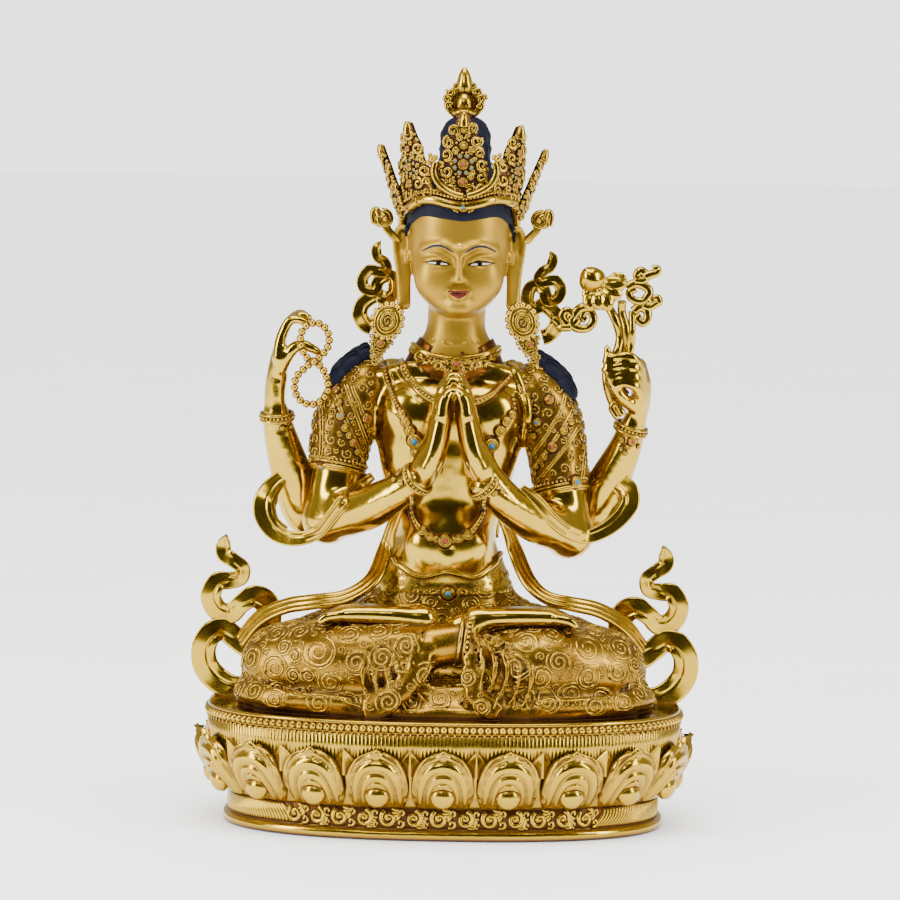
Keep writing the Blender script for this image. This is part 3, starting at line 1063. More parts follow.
def stone(name, light, dark, rough):
    """A small cabochon, cloudy and slightly veined, with the soft gloss of a tumbled stone."""
    made = tempera(name, light, dark, rough, 1.2, 0.4)
    shader = made.node_tree.nodes["Principled BSDF"]
    shader.inputs["Coat Weight"].default_value = 0.25
    shader.inputs["Coat Roughness"].default_value = 0.15
    return made


# Turquoise looks like blue-green wax, coral like dull red sealing wax, both with a small soft highlight.
turquoise = stone("tumbled_turquoise", "#0C6484", "#074A66", 0.3)
coral = stone("tumbled_coral", "#7C1E10", "#5E140A", 0.3)
# Cast openwork, chased sharp: bright points over dark gaps, so that it glitters.
crown_gilding = fire_gilding("chased_crown_gilding", "#C5A434", "#A27C1E", "#3C1408", 2.0, 0.16, 0.1, 0.72)
turquoises, corals = on_seat(), on_seat()


def ring_path(place, out, radius, samples=16):
    """A closed ring lying on a surface."""
    side, up, _ = flat_ways(out)
    turn = full_turn(samples)[:, None]
    return np.asarray(place) + radius * (side * np.cos(turn) + up * np.sin(turn))


def jewel(shapes, place, out, size, stones=None, halo=0):
    """A collet: a low boss, a rim of wire and the stone or gold bead in it; a halo is a ring of small
    stones."""
    place, out = np.asarray(place, float), unit(out)
    studs(shadows, place, size * 1.25, out, tall=0.26, columns=12, rows=5)
    studs(shapes, place, size, out, tall=0.42, columns=12, rows=6)
    sweep(shapes, ring_path(place + out * size * 0.34, out, size * 0.78), size * 0.17, out, closed=True,
          sides=6)
    sweep(shapes, ring_path(place + out * size * 0.5, out, size * 0.52), size * 0.12, out, closed=True,
          sides=6)
    studs(shapes if stones is None else stones, place + out * size * 0.42, size * 0.46, out, tall=0.75,
          columns=12, rows=7)
    side, up, _ = flat_ways(out)
    for k in range(halo):
        turn = 2 * math.pi * (k + 0.5) / halo
        small = place + (side * math.cos(turn) + up * math.sin(turn)) * size * 1.62
        sweep(shapes, ring_path(small + out * 0.3, out, size * 0.33, samples=12), size * 0.14, out,
              closed=True, sides=5)
        studs(turquoises, small + out * 0.35, size * 0.27, out, tall=0.7, columns=8, rows=5)


def walk(path):
    """How far along a line each of its points lies."""
    return np.concatenate([[0], np.cumsum(np.linalg.norm(np.diff(path, axis=0), axis=1))])


def at_marks(marks, walked, path):
    """The places on a line at given distances along it."""
    return np.stack([np.interp(marks, walked, path[:, k]) for k in range(3)], 1)


def upright(drawing):
    """A flat drawing of (across, up) places stood up to face the front."""
    return np.stack([drawing[:, 0], 0 * drawing[:, 0], drawing[:, 1]], 1)


RING_X, RING_Y = 3.3, 6.8
crown, crown_ground = on_seat(), on_seat()
for turn, height, width, base, lean, reach, stones in (
        (2, 40, 27, 255, 0.10, 28.6, ((0, 0.12, 2.5, corals, 0), (0, 0.34, 2.7, corals, 8),
        (0, 0.575, 2.1, None, 0), (0, 0.76, 1.7, None, 0))),
        (-50, 37, 26, 253, 0.2, 29.0, ((-0.1, 0.16, 2.3, corals, 0), (0, 0.38, 2.2, corals, 7),
        (0, 0.62, 1.6, corals, 0))),
        (54, 37, 26, 252, 0.24, 29.0, ((0.1, 0.16, 2.3, corals, 0), (0, 0.38, 2.2, corals, 7),
        (0, 0.62, 1.7, corals, 0))),
        (-84, 34, 21, 244.5, 0.36, 29.8, ((0, 0.08, 1.7, turquoises, 0), (0, 0.38, 1.8, corals, 0),
        (0, 0.6, 1.5, turquoises, 0))),
        (88, 34, 21, 243.5, 0.42, 29.8, ((0, 0.08, 1.7, turquoises, 0), (0, 0.38, 1.8, corals, 0),
        (0, 0.6, 1.5, turquoises, 0)))):
    turn = math.radians(turn)
    out, along = np.array((math.sin(turn), -math.cos(turn), 0)), np.array((math.cos(turn), math.sin(turn),
            0))

    def leaf_spot(across, rise, raised=0.0):
        """A place on the leaf: -1 to 1 across, 0 to 1 up."""
        across, rise = np.broadcast_arrays(np.asarray(across, float), np.asarray(rise, float))
        half = width / 2 * np.clip(1 - rise, 0, 1) ** 0.72 * (1 + 0.10 * np.cos(rise * 6 * np.pi)) * (1
                - 0.22 * np.exp(-((rise - 0.02) / 0.09) ** 2)) + 0.5
        bow = 2.6 * (1 - across**2) * np.clip(1 - rise, 0, 1) ** 0.5 - 1.6
        away = reach + lean * rise * height + bow + raised
        return (np.array((RING_X, RING_Y, base)) + out * away[..., None] + along
                * (across * half)[..., None]
                + np.array((0, 0, 1)) * (rise * height)[..., None])

    rise, across = np.meshgrid(np.linspace(0, 0.97, 34), np.linspace(-1, 1, 17), indexing="ij")
    face_points = leaf_spot(across, rise).reshape(-1, 3)
    sheet = Skin(face_points, grid_faces(*rise.shape))
    crown_ground.add(face_points, sheet.faces)
    crown_ground.add(leaf_spot(across, rise, -1.6).reshape(-1, 3), sheet.faces[:, ::-1])
    seeds = []
    for s, t, size, colour_of, halo in stones:
        place = leaf_spot(s, t)
        jewel(crown, place + out * 0.6, out + np.array((0, 0, -lean * 0.5)), size, colour_of, halo)
        seeds.append((place, out, size * (2.1 if halo else 1.15)))
    found = pack_places(sheet, lambda places, outs: places[:, 2] < base + height * 0.86,
                        (3.3, 2.5, 1.9, 1.3, 0.9), seeds, gap=0.88)
    for place, _, size in found[len(seeds):]:
        facing = out + along * float(np.dot(place - leaf_spot(0, 0.5), along)) * 0.05
        if size < 1.2:
            studs(crown, place + out * 0.3, size * 0.9, facing, tall=1.0, columns=8, rows=5)
            continue
        curl = spiral(1.25, size * 0.95, 1 if place @ along > 0 else -1, place[2] * 1.7, samples=14,
                      inner=0.2)
        side, up, _ = flat_ways(facing)
        path = place + side * curl[:, :1] + up * curl[:, 1:] + out * 0.55
        sweep(crown, path, np.linspace(0.7, 1.05, len(path)) * min(1.15, size / 2.1), facing, sides=5)
    for edge in (-1, 1):
        for rise in np.arange(0.06, 0.84, 0.075):
            studs(crown, leaf_spot(edge * 1.02, rise) + out * 0.2, 1.25 - 0.5 * rise, out, tall=1.1,
                  columns=9, rows=6)
    tip = leaf_spot(0, np.array((0.8, 0.9, 0.985)))
    sweep(crown, curve(tip, 5), np.array((2.5, 2.5, 2.45, 2.4, 2.3, 2.1, 1.9, 1.7, 1.5, 1.2, 0.7)), out,
          sides=14)
make("crown_leaves", crown, crown_gilding, "chased_gilt_copper", "crown")
make("crown_leaf_grounds", crown_ground, ground_lacquer, "chased_gilt_copper", "crown")

# The crown's band: a roll wound with wire, a row of beads, brackets between the leaves and knots at the
# ears.
band = on_seat()
rim = [(398, 230.6), (401.5, 222), (406, 214), (416.6, 204.2), (429, 199.4), (445.7, 203), (463.6, 206),
       (481, 203), (497.8, 199.4), (510, 205.6), (516.5, 214), (520.5, 222),
       (522.3, 230.6)]
places, outs = trace(hair_skin, rim, lift=1.5, steps=5)
back = np.linspace(0, np.pi, 30)[1:-1]
behind = np.stack([RING_X + 28.2 * np.cos(back), RING_Y + 2.2 + 28.4 * np.sin(back),
                   231.5 + 6 * np.sin(back)], 1)
loop = curve(np.concatenate([places[::4], behind]), 4, closed=True)
centre = np.array((RING_X, RING_Y + 1, 0))
facing = (loop - centre) * (1, 1, 0)
sweep(band, loop, 2.5, facing, closed=True, sides=14)
for k in range(0, len(loop), 7):
    if loop[k, 1] > -6 or abs(loop[k, 0] - RING_X) > 15:
        run = loop[(k + 1) % len(loop)] - loop[k - 1]
        side = np.cross(run, facing[k])
        turn = full_turn(14)[:, None]
        wound = unit(facing[k]) * np.cos(turn) + unit(side) * np.sin(turn)
        sweep(band, loop[k] + 2.6 * wound, 0.42, run, closed=True, sides=5)
closed_loop = np.vstack([loop, loop[:1]])
walked = walk(closed_loop)
beads = at_marks(np.arange(0, walked[-1], 1.75), walked, closed_loop)
lifted = (beads - centre) * (1, 1, 0)
lifted = lifted / np.linalg.norm(lifted, axis=1, keepdims=True)
raise_by = np.where(beads[:, 1] < -4, 3.7, 3.0)[:, None]
studs(band, beads + lifted * 1.5 + np.array((0, 0, 1)) * raise_by, 1.05, lifted, columns=9, rows=6)
plate = beads + lifted * 0.4 + np.array((0, 0, 1)) * (raise_by + 0.3)
sweep(band, plate, 1.5, lifted, closed=True, flat=0.5)
for side in (-1, 1):
    bracket = [(-29.5, 162), (-31.5, 171), (-28, 181), (-20, 189), (-10, 194), (-2, 196)]
    path = np.array([front(465 - side * u if side > 0 else 465 + u, row, -26.5 + 0.10 * abs(u))
                     for u, row in bracket])
    sweep(band, curve(path, 5), 1.7, (0, -1, 0), sides=9)
    for k, (u, row, size) in enumerate(((-33, 159, 2.0), (-36.5, 163, 1.5), (-29.5, 157.5, 1.5),
            (-35, 155, 1.2))):
        studs(band, [front(465 - side * u if side > 0 else 465 + u, row, -23.5)], size, columns=12, rows=8)
    knot = np.array(front(383.5 if side < 0 else 540.5, 219 if side < 0 else 221, -3))
    for k, (size, wire) in enumerate(((4.6, 1.2), (2.6, 1.0))):
        curl = spiral(1.2 - 0.3 * k, size, -side, 1.5 + side, samples=20, inner=0.3)
        sweep(band, knot + upright(curl), wire, (0, -1, 0), sides=8)
    studs(band, knot + (-side * 1.0, -0.8, 0), 1.6, columns=12, rows=8)
    studs(band, knot + (side * 0.6, 1.2, 0), 4.8, (0, -1, 0), tall=0.35, long=0.8,
          along=(side * 0.6, 0, 0.8), columns=20, rows=10)
    for k, w in enumerate((0, 2.2)):
        sweep(band, curve([knot + (side * (2 - w), 0, 1), knot + (side * (3.6 - w), 0.5, 4.6 - w),
                           knot + (side * (5.4 - w), 0.5, 2.6 - w),
                           knot + (side * (4.6 - w), 0.5, -2.6 + w)], 5),
              np.linspace(1.9, 1.3, 16), (0, -1, 0), sides=9)
    for w in (-3.4, -1.2, 1.0, 3.2):
        sweep(band, curve([knot + (-side * 2, 1, 0.5 * w + 2), knot + (-side * (1.5 + 0.35 * w), 1, -4),
                           knot + (-side * (4.8 + 0.4 * w), 1.5, -8),
                           knot + (-side * (7 + 0.3 * w), 2.5, -11)], 5),
              1.15, (0, -1, 0), sides=7)
spot = hair_skin.under(463.5, 206.5)
jewel(band, spot[0] + spot[1] * 2.2, spot[1], 2.6, turquoises)
for k in (-1, 1):
    for far, tall in ((3.4, 3.0), (5.0, 2.4)):
        arc = np.linspace(-1.2, 1.2, 9)
        path = spot[0] + spot[1] * 2.4 + np.stack([k * (far * np.cos(arc * 0.6)),
                0.3 * far * 0.3 + 0 * arc, tall * np.sin(arc)], 1)
        sweep(band, path, 0.55, (0, -1, 0), sides=6)
make("crown_band", band, crown_gilding, "chased_gilt_copper")

# The hair that shows below the crown's band, bowed over each temple.
strip = on_seat()
lower = curve([(406.5, 237), (409, 230), (413.6, 222.4), (424.3, 216.3), (444, 219), (463.6, 221.4),
               (482.5, 219), (497.8, 217.4), (507, 223.4), (511, 233), (513, 243)], 6)
upper = curve([(404.5, 236), (405, 227), (408, 216), (418, 206), (444, 206), (463.6, 208), (482.5, 206),
               (500, 204), (510, 212), (514.5, 226), (515.5, 242)], 6)
rows = []
for t in np.linspace(0, 1, 9):
    row = []
    for a, b in zip(lower, upper):
        column, height = a + (b - a) * t
        spot = head_skin.under(column, height) or head_skin.near(front(column, height, -6))
        row.append(spot[0] + spot[1] * (0.15 + 0.65 * math.sin(min(1, t * 3) * math.pi / 2)))
    rows.append(row)
strip.add(np.array(rows), grid_faces(9, len(lower)))
make("hairline_over_the_brow", strip, hair_blue, "matt_gold_paint")

# The jewel on the topknot
# A casting of its own, pinned into the topknot: a lotus foot, a drop-shaped jewel and flames that
# close to a point over it.

finial = on_seat()
turned = np.array([(0.1, 289.6), (4.4, 289.8), (5.4, 290.8), (3.6, 292), (5.6, 293.2), (6.6, 294.4),
                   (4.6, 296), (0.1, 296.4)])
turn = full_turn(28)
fx = 4.4
finial.add(np.stack([np.stack([fx + r * np.cos(turn), 8 + r * np.sin(turn), h + 0 * turn], 1)
                     for r, h in turned]), grid_faces(len(turned), 28, wrap_columns=True))
drop = np.array([(0.1, 294.6), (2.8, 295.4), (4.1, 297.6), (4.2, 299.6), (3.2, 302), (1.4, 304),
                 (0.1, 305)])
finial.add(np.stack([np.stack([fx + r * np.cos(turn), 6.6 + r * 0.95 * np.sin(turn), h + 0 * turn], 1)
                     for r, h in drop]), grid_faces(len(drop), 28, wrap_columns=True))
for side in (-1, 1):
    for depth, out_by, thick in ((8, 8.0, 2.0), (10.5, 5.4, 2.1)):
        flame = curve([(fx + side * 3.4, depth, 293, thick),
                       (fx + side * (out_by - 0.6), depth, 296, thick),
                       (fx + side * out_by, depth, 300, thick * 0.95),
                       (fx + side * (out_by - 2.4), depth, 304, thick * 0.95),
                       (fx + side * 1.6, depth - 0.5, 307.5, thick), (fx, depth - 1, 310.5, thick)], 5)
        sweep(finial, flame[:, :3], flame[:, 3], (0, -1, 0), sides=10)
    for k, (u, h, size) in enumerate(((8.4, 297.4, 1.5), (9.0, 300.8, 1.6), (7.2, 304.2, 1.7),
            (4.6, 307.2, 1.6), (2.2, 306.2, 1.3))):
        curl = spiral(1.1, size, side, 1.0 + k, samples=14, inner=0.3)
        sweep(finial, np.array((fx + side * u * 0.92, 5.4 + 0.3 * k, h)) + 1.25 * upright(curl), 0.95,
              (0, -1, 0), sides=8)
sweep(finial, curve([(fx + 8.6, 7, 301.6), (fx + 10.2, 7, 303), (fx + 10.8, 7, 300.8)], 4), 1.2,
      (0, -1, 0), sides=9)
studs(finial, (fx, 9.4, 300.5), 7.4, (0, -1, 0), tall=0.3, long=1.1, columns=24, rows=12)
tip = curve([(fx, 7.6, 304.5, 3.2), (fx, 7.6, 307.5, 4.2), (fx, 7.6, 311, 3.5),
             (fx - 0.1, 7.6, 314.4, 2.3), (fx - 0.2, 7.6, 316.6, 0.9)], 5)
sweep(finial, tip[:, :3], tip[:, 3], (0, -1, 0), sides=16)
make("topknot_finial_in_flames", finial, crown_gilding, "chased_gilt_copper", "topknot_finial")

# The earrings
# Each is a casting pinned to the long lobe: a wheel of wires with beads round it, and a tapering fall
# of curls below it with one coral.

for side, name in ((-1, "right"), (1, "left")):
    ear = on_seat()
    centre = np.array(front(387.5, 321, -10) if side < 0 else front(522.5, 322, -10))
    foot = np.array(front(374.5, 365, -8) if side < 0 else front(537.5, 369, -8))
    down = unit(foot - centre)
    lean = math.atan2(down[0], -down[2])
    ax, az = np.array((math.cos(lean), 0, math.sin(lean))), np.array((-math.sin(lean), 0, math.cos(lean)))
    turn = full_turn(36)[:, None]
    for reach, wire, y in ((5.4, 1.0, -2.4), (3.9, 0.8, -2.9), (7.2, 1.1, -1.4)):
        sweep(ear, centre + (0, y, 0) + reach * (ax * np.cos(turn) * 0.8 + az * np.sin(turn)), wire,
              (0, -1, 0), closed=True, sides=8)
    studs(ear, centre, 7.0, (0, -1, 0), tall=0.38, long=1.2, along=az, columns=24, rows=12)
    curl = spiral(1.3, 3.0, side, 1.0, samples=18)
    sweep(ear, centre + (0, -3.0, 0) + ax * curl[:, :1] * 0.8 + az * curl[:, 1:], 0.5, (0, -1, 0), sides=6)
    for k in range(16):
        turn = 2 * math.pi * k / 16
        studs(ear, centre + (0, -0.8, 0) + 8.7 * (ax * math.cos(turn) * 0.82 + az * math.sin(turn)), 1.75,
              (0, -1, 0), tall=0.9, columns=10, rows=6)
    for row in range(6):
        width = 5.4 * (1 - row / 6.6)
        level = centre + down * (9.6 + row * 2.35)
        for u in np.arange(-width, width + 0.1, 2.1 if row < 5 else 1.6):
            if row == 1 and abs(u) < 2.2:
                continue
            curl = spiral(1.1, 1.2, 1 if u > 0 else -1, row * 1.3 + u, samples=12, inner=0.3)
            sweep(ear, level + (0, -1.3, 0) + ax * (u + curl[:, :1]) + az * curl[:, 1:], 0.5, (0, -1, 0),
                  sides=6)
        studs(ear, level, max(1.6, width), (0, -1, 0), tall=0.3 if width > 2 else 0.7,
              long=0.5 if width > 2 else 1, along=az, columns=14, rows=8)
    jewel(ear, centre + down * 11.6 + (0, -1.6, 0), (0, -1, 0), 2.3, corals)
    sweep(ear, curve([centre + down * 21, centre + down * 23, foot], 4), np.linspace(1.7, 0.9, 9),
          (0, -1, 0), sides=9)
    make(f"earring_on_the_{name}", ear, crown_gilding, "chased_gilt_copper", f"earring_{name}")


# Scarves, sashes and standing ribbons
# The scarf ends are flat bands, cut from cast plate, wound to and fro and filed with a line that keeps
# to the inner side of every bend. Sashes loop from the raised arms; two scarves hang to the thighs.

# Filed and burnished plate: long clean reflections, with a dark line left along the file's groove.
ribbon_gilding = fire_gilding("burnished_ribbon_gilding", "#C6A634", "#A68222", "#4C1C0A", 2.8, 0.14, 0.08,
        0.62)


def ribbon(shapes, stations, normal=(0, -1, 0), thick=1.5, line=0.38, ridges=0, steps=6):
    """A flat band along (x, y, h, half width), with a filed line on the inner side of each bend or with
    ridges."""
    path = curve(stations, steps)
    half, path = path[:, 3], path[:, :3]
    normal = np.broadcast_to(np.asarray(normal, float), path.shape)
    run = np.gradient(path, axis=0)
    run = run / np.linalg.norm(run, axis=1, keepdims=True)
    side = np.cross(run, normal)
    side = side / np.maximum(np.linalg.norm(side, axis=1, keepdims=True), 1e-9)
    up = np.cross(side, run)
    bend = np.einsum("ij,ij->i", np.gradient(run, axis=0),
                     side) / np.maximum(np.linalg.norm(np.gradient(path, axis=0), axis=1), 1e-6)
    bend = np.convolve(np.pad(bend, 4, "edge"), np.ones(9) / 9, "valid")
    inner = np.tanh(bend * 14)[:, None]
    u = np.concatenate([np.linspace(-1, 1, 25), [1.02, 1.0, 0.6, -0.6, -1.0, -1.02]])[None, :]
    top = (np.arange(u.shape[1]) < 25)[None, :]
    if ridges:
        shape = 0.5 * thick + 0.45 * np.abs(np.sin((u + 1) / 2 * np.pi
                * ridges)) ** 0.7 - 0.5 * np.clip(np.abs(u) - 0.9, 0, 1) / 0.1
    else:
        shape = 0.5 * thick - 0.55 * np.exp(-((u - line
                * inner) / 0.075) ** 2) * np.abs(inner) + 0.3 * u * inner - 0.35 * np.clip(np.abs(u)
                - 0.88, 0, 1) / 0.12
    low = np.array([0] * 25 + [0, -0.5, -0.5, -0.5, -0.5, 0])[None, :] * thick
    lift = np.where(top, shape, low)
    across = np.broadcast_to(np.clip(u, -1, 1), lift.shape)
    rings = path[:, None] + side[:, None] * (across * half[:, None])[..., None] + up[:, None] * lift[...,
            None]
    rings = np.concatenate([rings[:1] * 0 + rings[:1].mean(1, keepdims=True), rings,
                            rings[-1:] * 0 + rings[-1:].mean(1, keepdims=True)])
    shapes.add(rings, grid_faces(len(rings), u.shape[1], wrap_columns=True))


SCARF_END = [(246, 687, 4.0), (231, 687, 4.6), (216, 678.5, 4.9), (205.5, 664.5, 4.8), (204, 647, 4.6),
             (211.5, 633, 4.4), (224, 629.5, 4.2), (237, 639, 4.2), (250, 646.5, 4.4),
             (262, 638, 4.4), (269, 622.5, 4.6), (266.5, 603, 4.6), (253.5, 596.5, 4.2), (241, 604, 3.6),
             (231, 613.5, 3.8), (217.5, 610, 4.0), (210.8, 596, 3.8), (217, 582, 3.6),
             (229.5, 580.5, 3.2), (240.8, 577.8, 2.9), (242.5, 568, 2.8), (234, 560.7, 2.7),
             (224.3, 553.8, 3.0), (223.8, 544, 2.6), (226.4, 535.5, 0.4)]
for side, name in ((-1, "right"), (1, "left")):
    scroll = on_seat()
    spots = []
    for k, (column, row, half) in enumerate(SCARF_END):
        if side > 0:
            column, row = 889.5 - column, row + 11.5
        spots.append((*front(column, row, 12 + (-0.9 if k % 4 < 2 else 0.9)), half * 1.34))
    ribbon(scroll, spots, thick=2.6)
    make(f"scarf_end_beside_the_{name}_knee", scroll, ribbon_gilding, "chased_gilt_copper",
         f"scarf_scroll_{name}")

CROWN_END = [(6, 0), (2.5, 1.5), (0, 6), (1, 11), (6, 15.2), (9, 16), (13, 14.3), (16.5, 17.5), (16.5, 24),
             (13, 26), (8.8, 23), (7, 18.5), (2, 19.5), (1, 24), (4.5, 28.6),
             (10.5, 27.6), (13, 29.5), (11.5, 33), (8.3, 35), (7.6, 39.5), (9.6, 43)]
for side, name, corner, lean in ((1, "right", (-45.7, 186.5), 0), (-1, "left", (51.5, 183), 0.16)):
    scroll = on_seat()
    spots = [(corner[0] + side * u + lean * w, 8 + (0.6 if k % 4 < 2 else -0.6), corner[1] + w,
              4.0 * (1 - 0.4 * k / 20) * (1 if k < 20 else 0.15)) for k, (u, w) in enumerate(CROWN_END)]
    ribbon(scroll, spots, thick=1.9, steps=5)
    make(f"crown_ribbon_on_the_{name}", scroll, ribbon_gilding, "chased_gilt_copper",
         f"crown_ribbon_{name}")

SASHES = {
    "right": ((230, 300, 6.03), ((520, 1035, 20, 14), (430, 1030, 34, 10), (335, 1055, 42, 4),
        (255, 1115, 50, 0), (200, 1205, 58, -3), (203, 1300, 60, -4), (262, 1390, 56, -6),
                                 (350, 1435, 48, -9), (450, 1435, 42, -12), (540, 1395, 40, None),
        (610, 1310, 44, None), (690, 1210, 46, None), (780, 1120, 44, None), (860, 1060, 26, None))),
    "left": ((520, 240, 4.9), ((310, 1205, 18, 14), (390, 1168, 28, 10), (465, 1170, 40, 4),
        (528, 1215, 46, 0), (542, 1285, 46, -3), (492, 1362, 42, -5), (410, 1425, 38, -8),
                               (320, 1455, 34, -11), (230, 1425, 34, None), (150, 1360, 36, None),
        (75, 1280, 36, None), (5, 1215, 22, None)))}
for side, name in ((-1, "right"), (1, "left")):
    sash = on_seat()
    (left, high, scale), stations = SASHES[name]
    spots, last = [], 0
    for x, y, half, depth in stations:
        column, row = left + x / scale, high + y / scale
        if depth is None:
            found = body_skin.under(column, row)
            depth = found[0][1] - 0.9 if found else last
        last = depth
        spots.append((*front(column, row, depth), half / scale * 0.49))
    ribbon(sash, spots, normal=(side * 0.15, -1, 0.12), thick=1.5, line=0.5)
    inner = [np.array(s) for s in spots[:8]]
    middle = np.mean([s[:3] for s in spots[1:8]], axis=0)
    fold = [(*(s[:3] + unit(middle - s[:3]) * s[3] * 1.15 + (0, 1.6, 0)), s[3] * 0.42) for s in inner]
    ribbon(sash, fold, normal=(side * 0.15, -1, 0.12), thick=1.2)
    for k, shift in enumerate((-0.5, 0.55)):
        rest = [np.array(s) for s in spots[8:]]
        way = np.array((0.55 * side, 0, 0.8))
        sweep(sash, curve([s[:3] + (0, -0.9, 0) + way * shift * s[3] for s in rest], 6), 0.75, (0, -1, 0),
              sides=8)
    make(f"sash_on_the_{name}_arms", sash, ribbon_gilding, "fire_gilt_copper", f"arm_sash_{name}")

# Two ribbed scarves from the waist over the thighs, and two down the back.
scarves = on_seat()
for stations in ([(-22, -9, 101, 2.5), (-27, -5, 90, 3.6), (-31, -2, 76, 4.4), (-37, -12, 62, 4.8),
                  (-50, -17, 53.5, 4.6), (-66, -15, 50.6, 4.4), (-80, -9, 47.5, 4.6), (-94, -2, 40, 5),
                  (-103, 4, 28, 4.6)],
                 [(24, -9, 101, 2.5), (29, -5, 90, 3.6), (34, -2, 77, 4.4), (41, -12, 62.5, 4.6),
                  (50, -17, 55, 4.2), (62, -16, 52, 4.2), (76, -10, 48.5, 4.6), (90, -2, 40, 5),
                  (99.5, 6, 28, 4.4)]):
    side = np.sign(stations[2][0])
    ribbon(scarves, stations, normal=(side * 0.45, -0.7, 0.65), thick=1.6, ridges=3)
for side in (-1, 1):
    spots = [(side * 14, 30, 172, 5), (side * 22, 33, 160, 6), (side * 27, 34, 140, 6),
             (side * 26, 31.5, 118, 6), (side * 23, 30.5, 98, 5), (side * 22, 32, 80, 4)]
    ribbon(scarves, spots, normal=(side * 0.2, 1, 0.1), thick=1.4, ridges=3)
make("hanging_scarves", scarves, garment_gilding, "chased_gilt_copper")


# Collar, strings, sleeves and bracelets
# The ornaments are cast apart, chased and pinned on, or soldered wires with beads between them: a collar
# of curls, strings with medallions, a belly chain, jewelled sleeves over the upper arms and bracelets.

# Chased small work: bright on the ridges, dark red in the narrow gaps, which sets the beads apart.
jewel_gilding = fire_gilding("chased_ornament_gilding", "#C5A434", "#A68220", "#47190B", 1.8, 0.16, 0.1,
        0.7)
bust = Skin(np.concatenate([body_skin.points, head_skin.points]),
            np.concatenate([body_skin.faces, head_skin.faces + len(body_skin.points)]))


def beads_along(shapes, path, pitch, size, outs):
    """A row of beads at an even pitch along a line."""
    walked = walk(path)
    marks = np.linspace(0, walked[-1], max(2, round(walked[-1] / pitch)))
    studs(shapes, at_marks(marks, walked, path), size, at_marks(marks, walked, outs), columns=8, rows=5)


def wire_on(shapes, skin, spots, lift, radius, **form):
    """A wire on a surface, through points of the camera's frame; two radii are those of its ends."""
    places, outs = trace(skin, spots, lift)
    sweep(shapes, places, np.linspace(*radius, len(places)) if isinstance(radius, tuple) else radius, outs,
          **form)
    return places, outs


def set_stones(shapes, skin, settings, lift):
    """Jewels at (column, row, size, stones) of the camera's frame; gives the fields that they fill."""
    fields = []
    for column, row, size, stones in settings:
        spot = skin.under(column, row)
        if spot:
            jewel(shapes, spot[0] + spot[1] * lift, spot[1], size, stones)
            fields.append((*spot, size * 1.1))
    return fields


# The collar, the strings over the chest, the belly chain and the bow on the left shoulder.
ornaments = on_seat()
wire_on(shadows, bust, [(407, 340), (414, 350), (424, 358), (435, 363), (456, 367), (478, 363), (490, 357),
                        (500, 350), (508, 341)], -0.1, 7.5, flat=0.06, sides=12)
wire_on(ornaments, bust, [(405, 331), (408, 337), (414, 345), (424, 352), (435, 356), (456, 358.5),
                          (478.6, 356), (490, 352), (501, 345.6), (507, 338), (510, 331)], 0.6, 1.5,
        sides=10)
places, outs = wire_on(ornaments, bust, [(403, 338), (408, 346), (416, 354), (426, 360), (438, 363.5),
        (456, 366), (476, 363.5), (488, 360), (498, 354), (505, 347), (509, 340)], 0.4, 0.7, sides=7)
beads_along(ornaments, places + outs * 0.3 + (0, 0, 1.2), 1.9, 0.75, outs)
for side in (-1, 1):
    for k, (u, row, size, spin) in enumerate(((10, 367, 3.0, 1), (19, 364.5, 3.2, -1), (28, 360, 3.2, 1),
            (36.5, 354.5, 3.0, -1), (43.5, 347.5, 2.6, 1), (48.5, 339, 2.2, -1),
                                             (14, 373.5, 2.2, -1), (23, 370, 2.2, 1),
            (31.5, 365.5, 2.0, -1), (5.5, 375.5, 2.2, 1))):
        spot = bust.under(456.5 + side * u, row + 1.5)
        if spot:
            places, outs = on_skin(bust, *spot, spiral(1.3, size, spin * side, k * 1.1, samples=18,
                    inner=0.18), 0.45)
            sweep(ornaments, places, np.linspace(0.65, 1.05, len(places)), outs, sides=7)
spot = bust.under(456.3, 364)
jewel(ornaments, spot[0] + spot[1] * 0.8, spot[1], 3.3, corals)
for side in (-1, 1):
    spot = bust.under(456.3 + side * 11, 363.5)
    jewel(ornaments, spot[0] + spot[1] * 0.6, spot[1], 2.1)

for spots in ([(400.5, 350), (403, 366), (408, 376), (415.4, 386), (423, 393.5), (431, 398.5), (436, 401)],
              [(474, 402), (478.6, 401.7), (487, 398), (495.4, 392), (503, 384), (510.8, 375.5)]):
    for shift in (-1.5, 1.5):
        wire_on(ornaments, bust, [(c + shift * 0.9, r - shift * 1.5) for c, r in spots], 0.3, 0.6, sides=6)
    places, outs = trace(bust, spots, lift=0.6)
    sweep(shadows, places - outs * 0.7, 2.5, outs, flat=0.2, sides=10)
    beads_along(ornaments, places, 1.9, 1.0, outs)
for spots in ([(384, 362), (387, 378), (392.5, 394.5), (398, 406), (402, 412)],
              [(512, 396), (514, 408), (513.6, 413)]):
    places, outs = trace(bust, spots, lift=0.6)
    sweep(shadows, places - outs * 0.7, 1.9, outs, flat=0.25, sides=10)
    beads_along(ornaments, places, 1.8, 0.95, outs)
for spots in ([(379, 356), (384, 378), (390, 396), (396, 410)],
              [(391, 352), (395, 366), (402, 380), (412, 394), (420, 404)],
              [(386, 354), (390, 372), (397, 390)]):
    wire_on(ornaments, bust, spots, -0.1, 0.8, flat=0.7)
for group in ([(402, 414, 1.9, None), (406, 421.5, 2.1, None), (410.5, 430, 2.3, None),
               (415.4, 440, 3.2, turquoises), (417, 451, 2.3, None)],
              [(511, 414, 1.8, None), (505.5, 421, 2.1, None), (499.5, 430, 2.3, None),
               (490, 444, 3.3, turquoises), (487, 456, 2.4, None)]):
    set_stones(ornaments, bust, [(column, row, size * 1.25, stones)
            for column, row, size, stones in group], 0.5)
